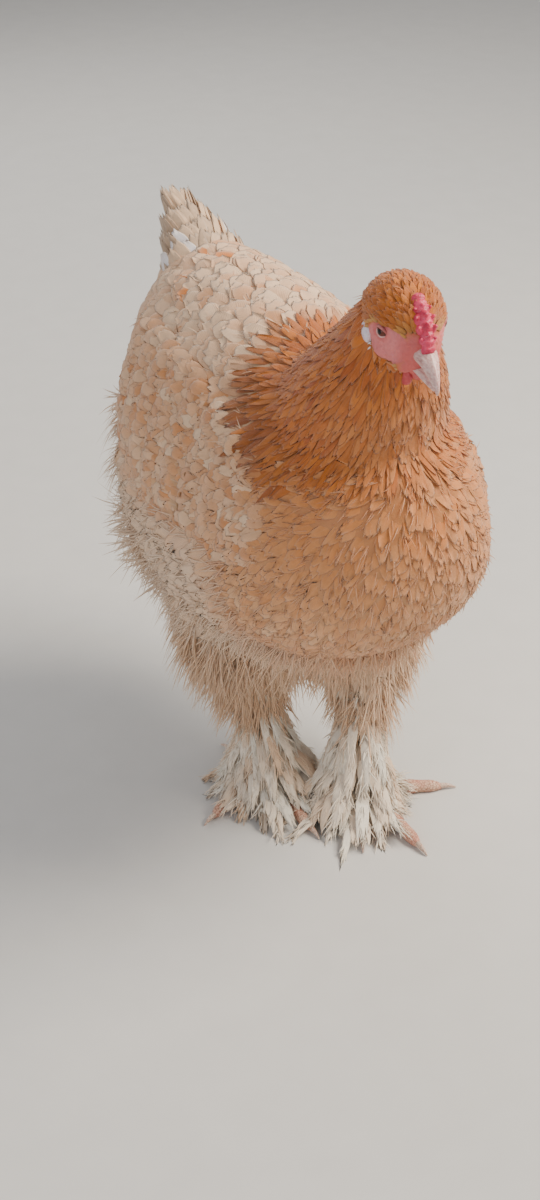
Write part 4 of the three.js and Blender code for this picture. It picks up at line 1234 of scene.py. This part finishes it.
def build_lobes(lobe_material, fold_material):
    rows = [
        (0, 0, 3.0, 1.2, 3.0), (0, 0, 0.5, 2.0, 4.6), (0, -0.6, -2.5, 2.3, 5.0),
        (0, -1.0, -5.2, 1.9, 3.9), (0, -1.2, -7.0, 0.9, 1.8),
    ]
    for name, side in SIDES:
        bm = bmesh.new()
        ball(bm, (3.0, 5.6, 7.6), (side * 22.2, 6, -7.5), (-12, 0, 0), 32)
        mesh = one_skin(bm, 0.5, 2)
        points = points_of(mesh)
        x, y, z = points.T
        dish = np.exp(-(((y - 5) / 2.6) ** 2 + ((z + 4) / 3.0) ** 2))
        outer = x * side > 22
        x[outer] -= side * 1.9 * dish[outer]
        x += side * grain_of(points, 0.7) * 0.5
        set_points(mesh, points)
        head_piece(mesh, f"lobe_{name}", lobe_material, "ear_lobe", f"ear_{name}")
        bm = bmesh.new()
        sweep(bm, rows, 18, 24)
        mesh = mesh_of(bm)
        points = points_of(mesh)
        x, y, z = points.T
        x += 0.6 * np.sin(y * 0.9 + 0.7 * side) + side * 0.02 * z ** 2
        set_points(mesh, points + np.array([side * 6.6, -25.5, -20.5]))
        head_piece(mesh, f"wattle_fold_{name}", fold_material, "comb_red", f"wattle_{name}")


def build_bill():
    """Upper and lower bill meet in a clear line; the upper one is ridged, hooked and has its nostrils."""
    horn = horn_paint("bill_horn_paint", (232, 200, 190), (196, 146, 138), 900.0)
    upper_rows = [
        (0, -27, -2, 8.6, 6.6), (0, -33, -2.6, 7.6, 6.0), (0, -40, -3.6, 6.2, 5.2),
        (0, -46.5, -6.2, 4.5, 4.2), (0, -51.5, -9.6, 3.0, 3.2), (0, -55.5, -13.6, 1.7, 2.0),
        (0, -57.2, -17.0, 0.5, 0.6),
    ]
    lower_rows = [
        (0, -26, -12.6, 7.0, 3.4), (0, -34, -13.6, 6.0, 3.1), (0, -42, -14.0, 4.5, 2.5),
        (0, -48, -14.9, 2.9, 1.9), (0, -52, -16.2, 1.0, 0.9),
    ]
    bm = bmesh.new()
    sweep(bm, upper_rows, 26, 28)
    mesh = one_skin(bm, 0.36, 1)
    points = points_of(mesh)
    x, y, z = points.T
    top = np.interp(-y, [27, 40, 50, 57], [-2, -3.6, -8.5, -16])
    z += 0.55 * (np.exp(-(x / 1.7) ** 2) * smooth(-6, 3, z - top))
    # A nostril on each side, with a low rim round it
    near = ((y + 38.5) / 2.5) ** 2 + ((z + 1.6) / 0.95) ** 2
    for side in (1, -1):
        x -= side * 2.3 * (np.exp(-near * 1.3) * (x * side > 2))
        x += side * 0.4 * (np.exp(-(np.sqrt(near) - 1.5) ** 2 * 5) * (x * side > 2))
    set_points(mesh, points)
    head_piece(mesh, "bill_upper", horn, "beak_horn", "beak_upper")
    bm = bmesh.new()
    sweep(bm, lower_rows, 18, 24)
    head_piece(bm, "bill_lower", horn, "beak_horn", "beak_lower")


def build_head_feathers(ground):
    """Small feathers swept back over crown, cheeks and throat, smallest at the edge of the bare face."""
    local = off_head(ground.points)
    roots, normals = ground.roots(2.15, (bare_share(local) < 0.5) & (local[:, 1] > -31))
    count = len(roots)
    spots = off_head(roots)
    x, y, z = spots.T
    back = unit(np.stack([x * 0.02, np.ones(count), np.where(z > 6, 0.1, -0.75)], -1))
    ways = turned(normals, back @ HEAD_TURN.T, 0.16)
    edge = bare_share(spots + np.array([0, -4.0, 0]))
    crown = smooth(2, 14, z)
    long = (8.2 - 3.6 * edge + 2.6 * crown) * rng.uniform(0.85, 1.15, count)
    long = long * (1 + 0.35 * smooth(-12, -24, z))
    mids, ups = ground.walk(roots, ways, long, len(SMALL_TIP))
    colors = drawn(GOLD, GOLD_DEEP, 0.35, 0.25, count)
    colors = mixed(colors, linear(222, 176, 98), np.clip(edge * 0.5 + smooth(-16, -28, z) * 0.3, 0, 1))
    puff = (crown * 2.4 + smooth(0, 12, y) * 0.5)[:, None, None]
    mids = mids + ups * puff * np.linspace(0.35, 1, len(SMALL_TIP))[None, :, None]
    vanes("head_feathers", (HACKLE, "hackle_gold"), mids, ups, long * 0.4, SMALL_TIP, colors,
          ground.patches(roots), lift=(-0.2, 1.2), fray=0.16, cup=0.06, thick=0.12, columns=5)
    tufts = []
    for side in (1, -1):
        turn = np.radians(rng.uniform(0, 360, EAR_TUFTS))
        reach = rng.uniform(3.6, 6.4, EAR_TUFTS)
        level, high = 6 + reach * np.cos(turn), -7 + reach * 1.3 * np.sin(turn)
        tufts.append(np.stack([np.full(EAR_TUFTS, side * 22.0), level, high], -1))
    tufts = on_head(np.vstack(tufts))
    outward = np.repeat([[1.0, 0, 0], [-1.0, 0, 0]], EAR_TUFTS, axis=0) @ HEAD_TURN.T
    way = np.repeat([[0, 1.0, -0.5]], 2 * EAR_TUFTS, axis=0) @ HEAD_TURN.T
    down("ear_tufts", (DOWN, "ear_lobe"), tufts, outward, unit(way), rng.uniform(4.5, 7, 2 * EAR_TUFTS),
         np.broadcast_to(WHITE, (2 * EAR_TUFTS, 3)), ground.patches(tufts), blades=5, width=0.8, lean=0.3)


def toe_piece(bm, matrix, name, *finish):
    """Keeps a toe or claw off the floor, puts it in its place and links it."""
    for v in bm.verts:
        v.co.z = max(v.co.z, TOE_FLOOR)
    bmesh.ops.transform(bm, matrix=matrix, verts=bm.verts)
    bmesh.ops.remove_doubles(bm, verts=bm.verts, dist=0.001)
    mesh = mesh_of(bm, name)
    set_points(mesh, to_frame(points_of(mesh)))
    link(name, mesh, *finish)


def build_toes():
    """Toes with flat soles, plump joints and a row of scutes over the top, each ending in its own claw."""
    skin = toe_paint()
    horn = horn_paint("claw_horn_paint", (230, 206, 186), (176, 140, 118), 1200.0)
    for name, leg in FEET.items():
        for toe, one in TOES.items():
            angle = math.radians(leg["turn"] + one["angle"] * leg["side"])
            turn = Matrix.Translation((*leg["foot"], 0)) @ Matrix.Rotation(angle, 4, "Z")
            long, thick = one["long"], one["thick"]
            shares = [(-4, 1.0), (-0.3 * long, 0.86), (-0.62 * long, 0.76), (-0.9 * long, 0.62),
                      (-long, 0.45), (-long - 2, 0.2)]
            fine = eased([(0, at, thick * k - 0.4, thick * k, thick * k) for at, k in shares], 64)
            joints = np.array([0.3, 0.62, 0.9]) * -long
            for row in fine:
                row[3:] *= 0.93 + 0.1 * sum(math.exp(-((row[1] - joint) / 4.5) ** 2) for joint in joints)
            bm = bmesh.new()
            sweep(bm, fine, 64, 18)
            for v in bm.verts:
                if v.co.z > thick * 0.5:
                    v.co.z += 0.45 * (abs((v.co.y / 3.1) % 1.0 - 0.5) * 2) ** 0.5
            toe_piece(bm, turn, f"scaled_toe_{toe}_{name}", skin, "toe_skin", f"toe_{toe}_{name}")
            claw = [
                (0, -long + 3, thick * 0.42, thick * 0.3, thick * 0.32),
                (0, -long - 3, thick * 0.5, thick * 0.29, thick * 0.33),
                (0, -long - 0.6 * CLAW_LONG, 3.0, thick * 0.2, thick * 0.24),
                (0, -long - CLAW_LONG, 0.9, 0.4, 0.5),
            ]
            bm = bmesh.new()
            sweep(bm, claw, 16, 14)
            toe_piece(bm, turn, f"claw_{toe}_{name}", horn, "claw_horn")


def build_floor():
    bm = bmesh.new()
    bmesh.ops.create_grid(bm, x_segments=1, y_segments=1, size=6.0)
    mesh = mesh_of(bm, "floor", recalc=False)
    mesh.materials.append(floor_paint())
    placed("floor", mesh)


set_camera()
set_light()
build_floor()
body_ground, head_ground = build_skin()
for build in (build_coat, build_fringe, build_wings, build_tail, build_boots):
    build(body_ground)
build_comb(flesh_paint("comb_paint", (226, 70, 104), (190, 44, 74), (244, 140, 160), 0.42))
build_eyes(
    flesh_paint("lid_paint", (196, 118, 112), (164, 82, 76), (216, 156, 148), 0.45),
    flesh_paint("lid_rim_paint", (232, 190, 182), (214, 150, 142), (244, 218, 210), 0.4),
)
build_lobes(
    flesh_paint("lobe_paint", (228, 216, 222), (206, 178, 184), (244, 240, 242), 0.5),
    flesh_paint("fold_paint", (206, 84, 84), (176, 56, 60), (232, 140, 132), 0.5),
)
build_bill()
build_head_feathers(head_ground)
build_toes()
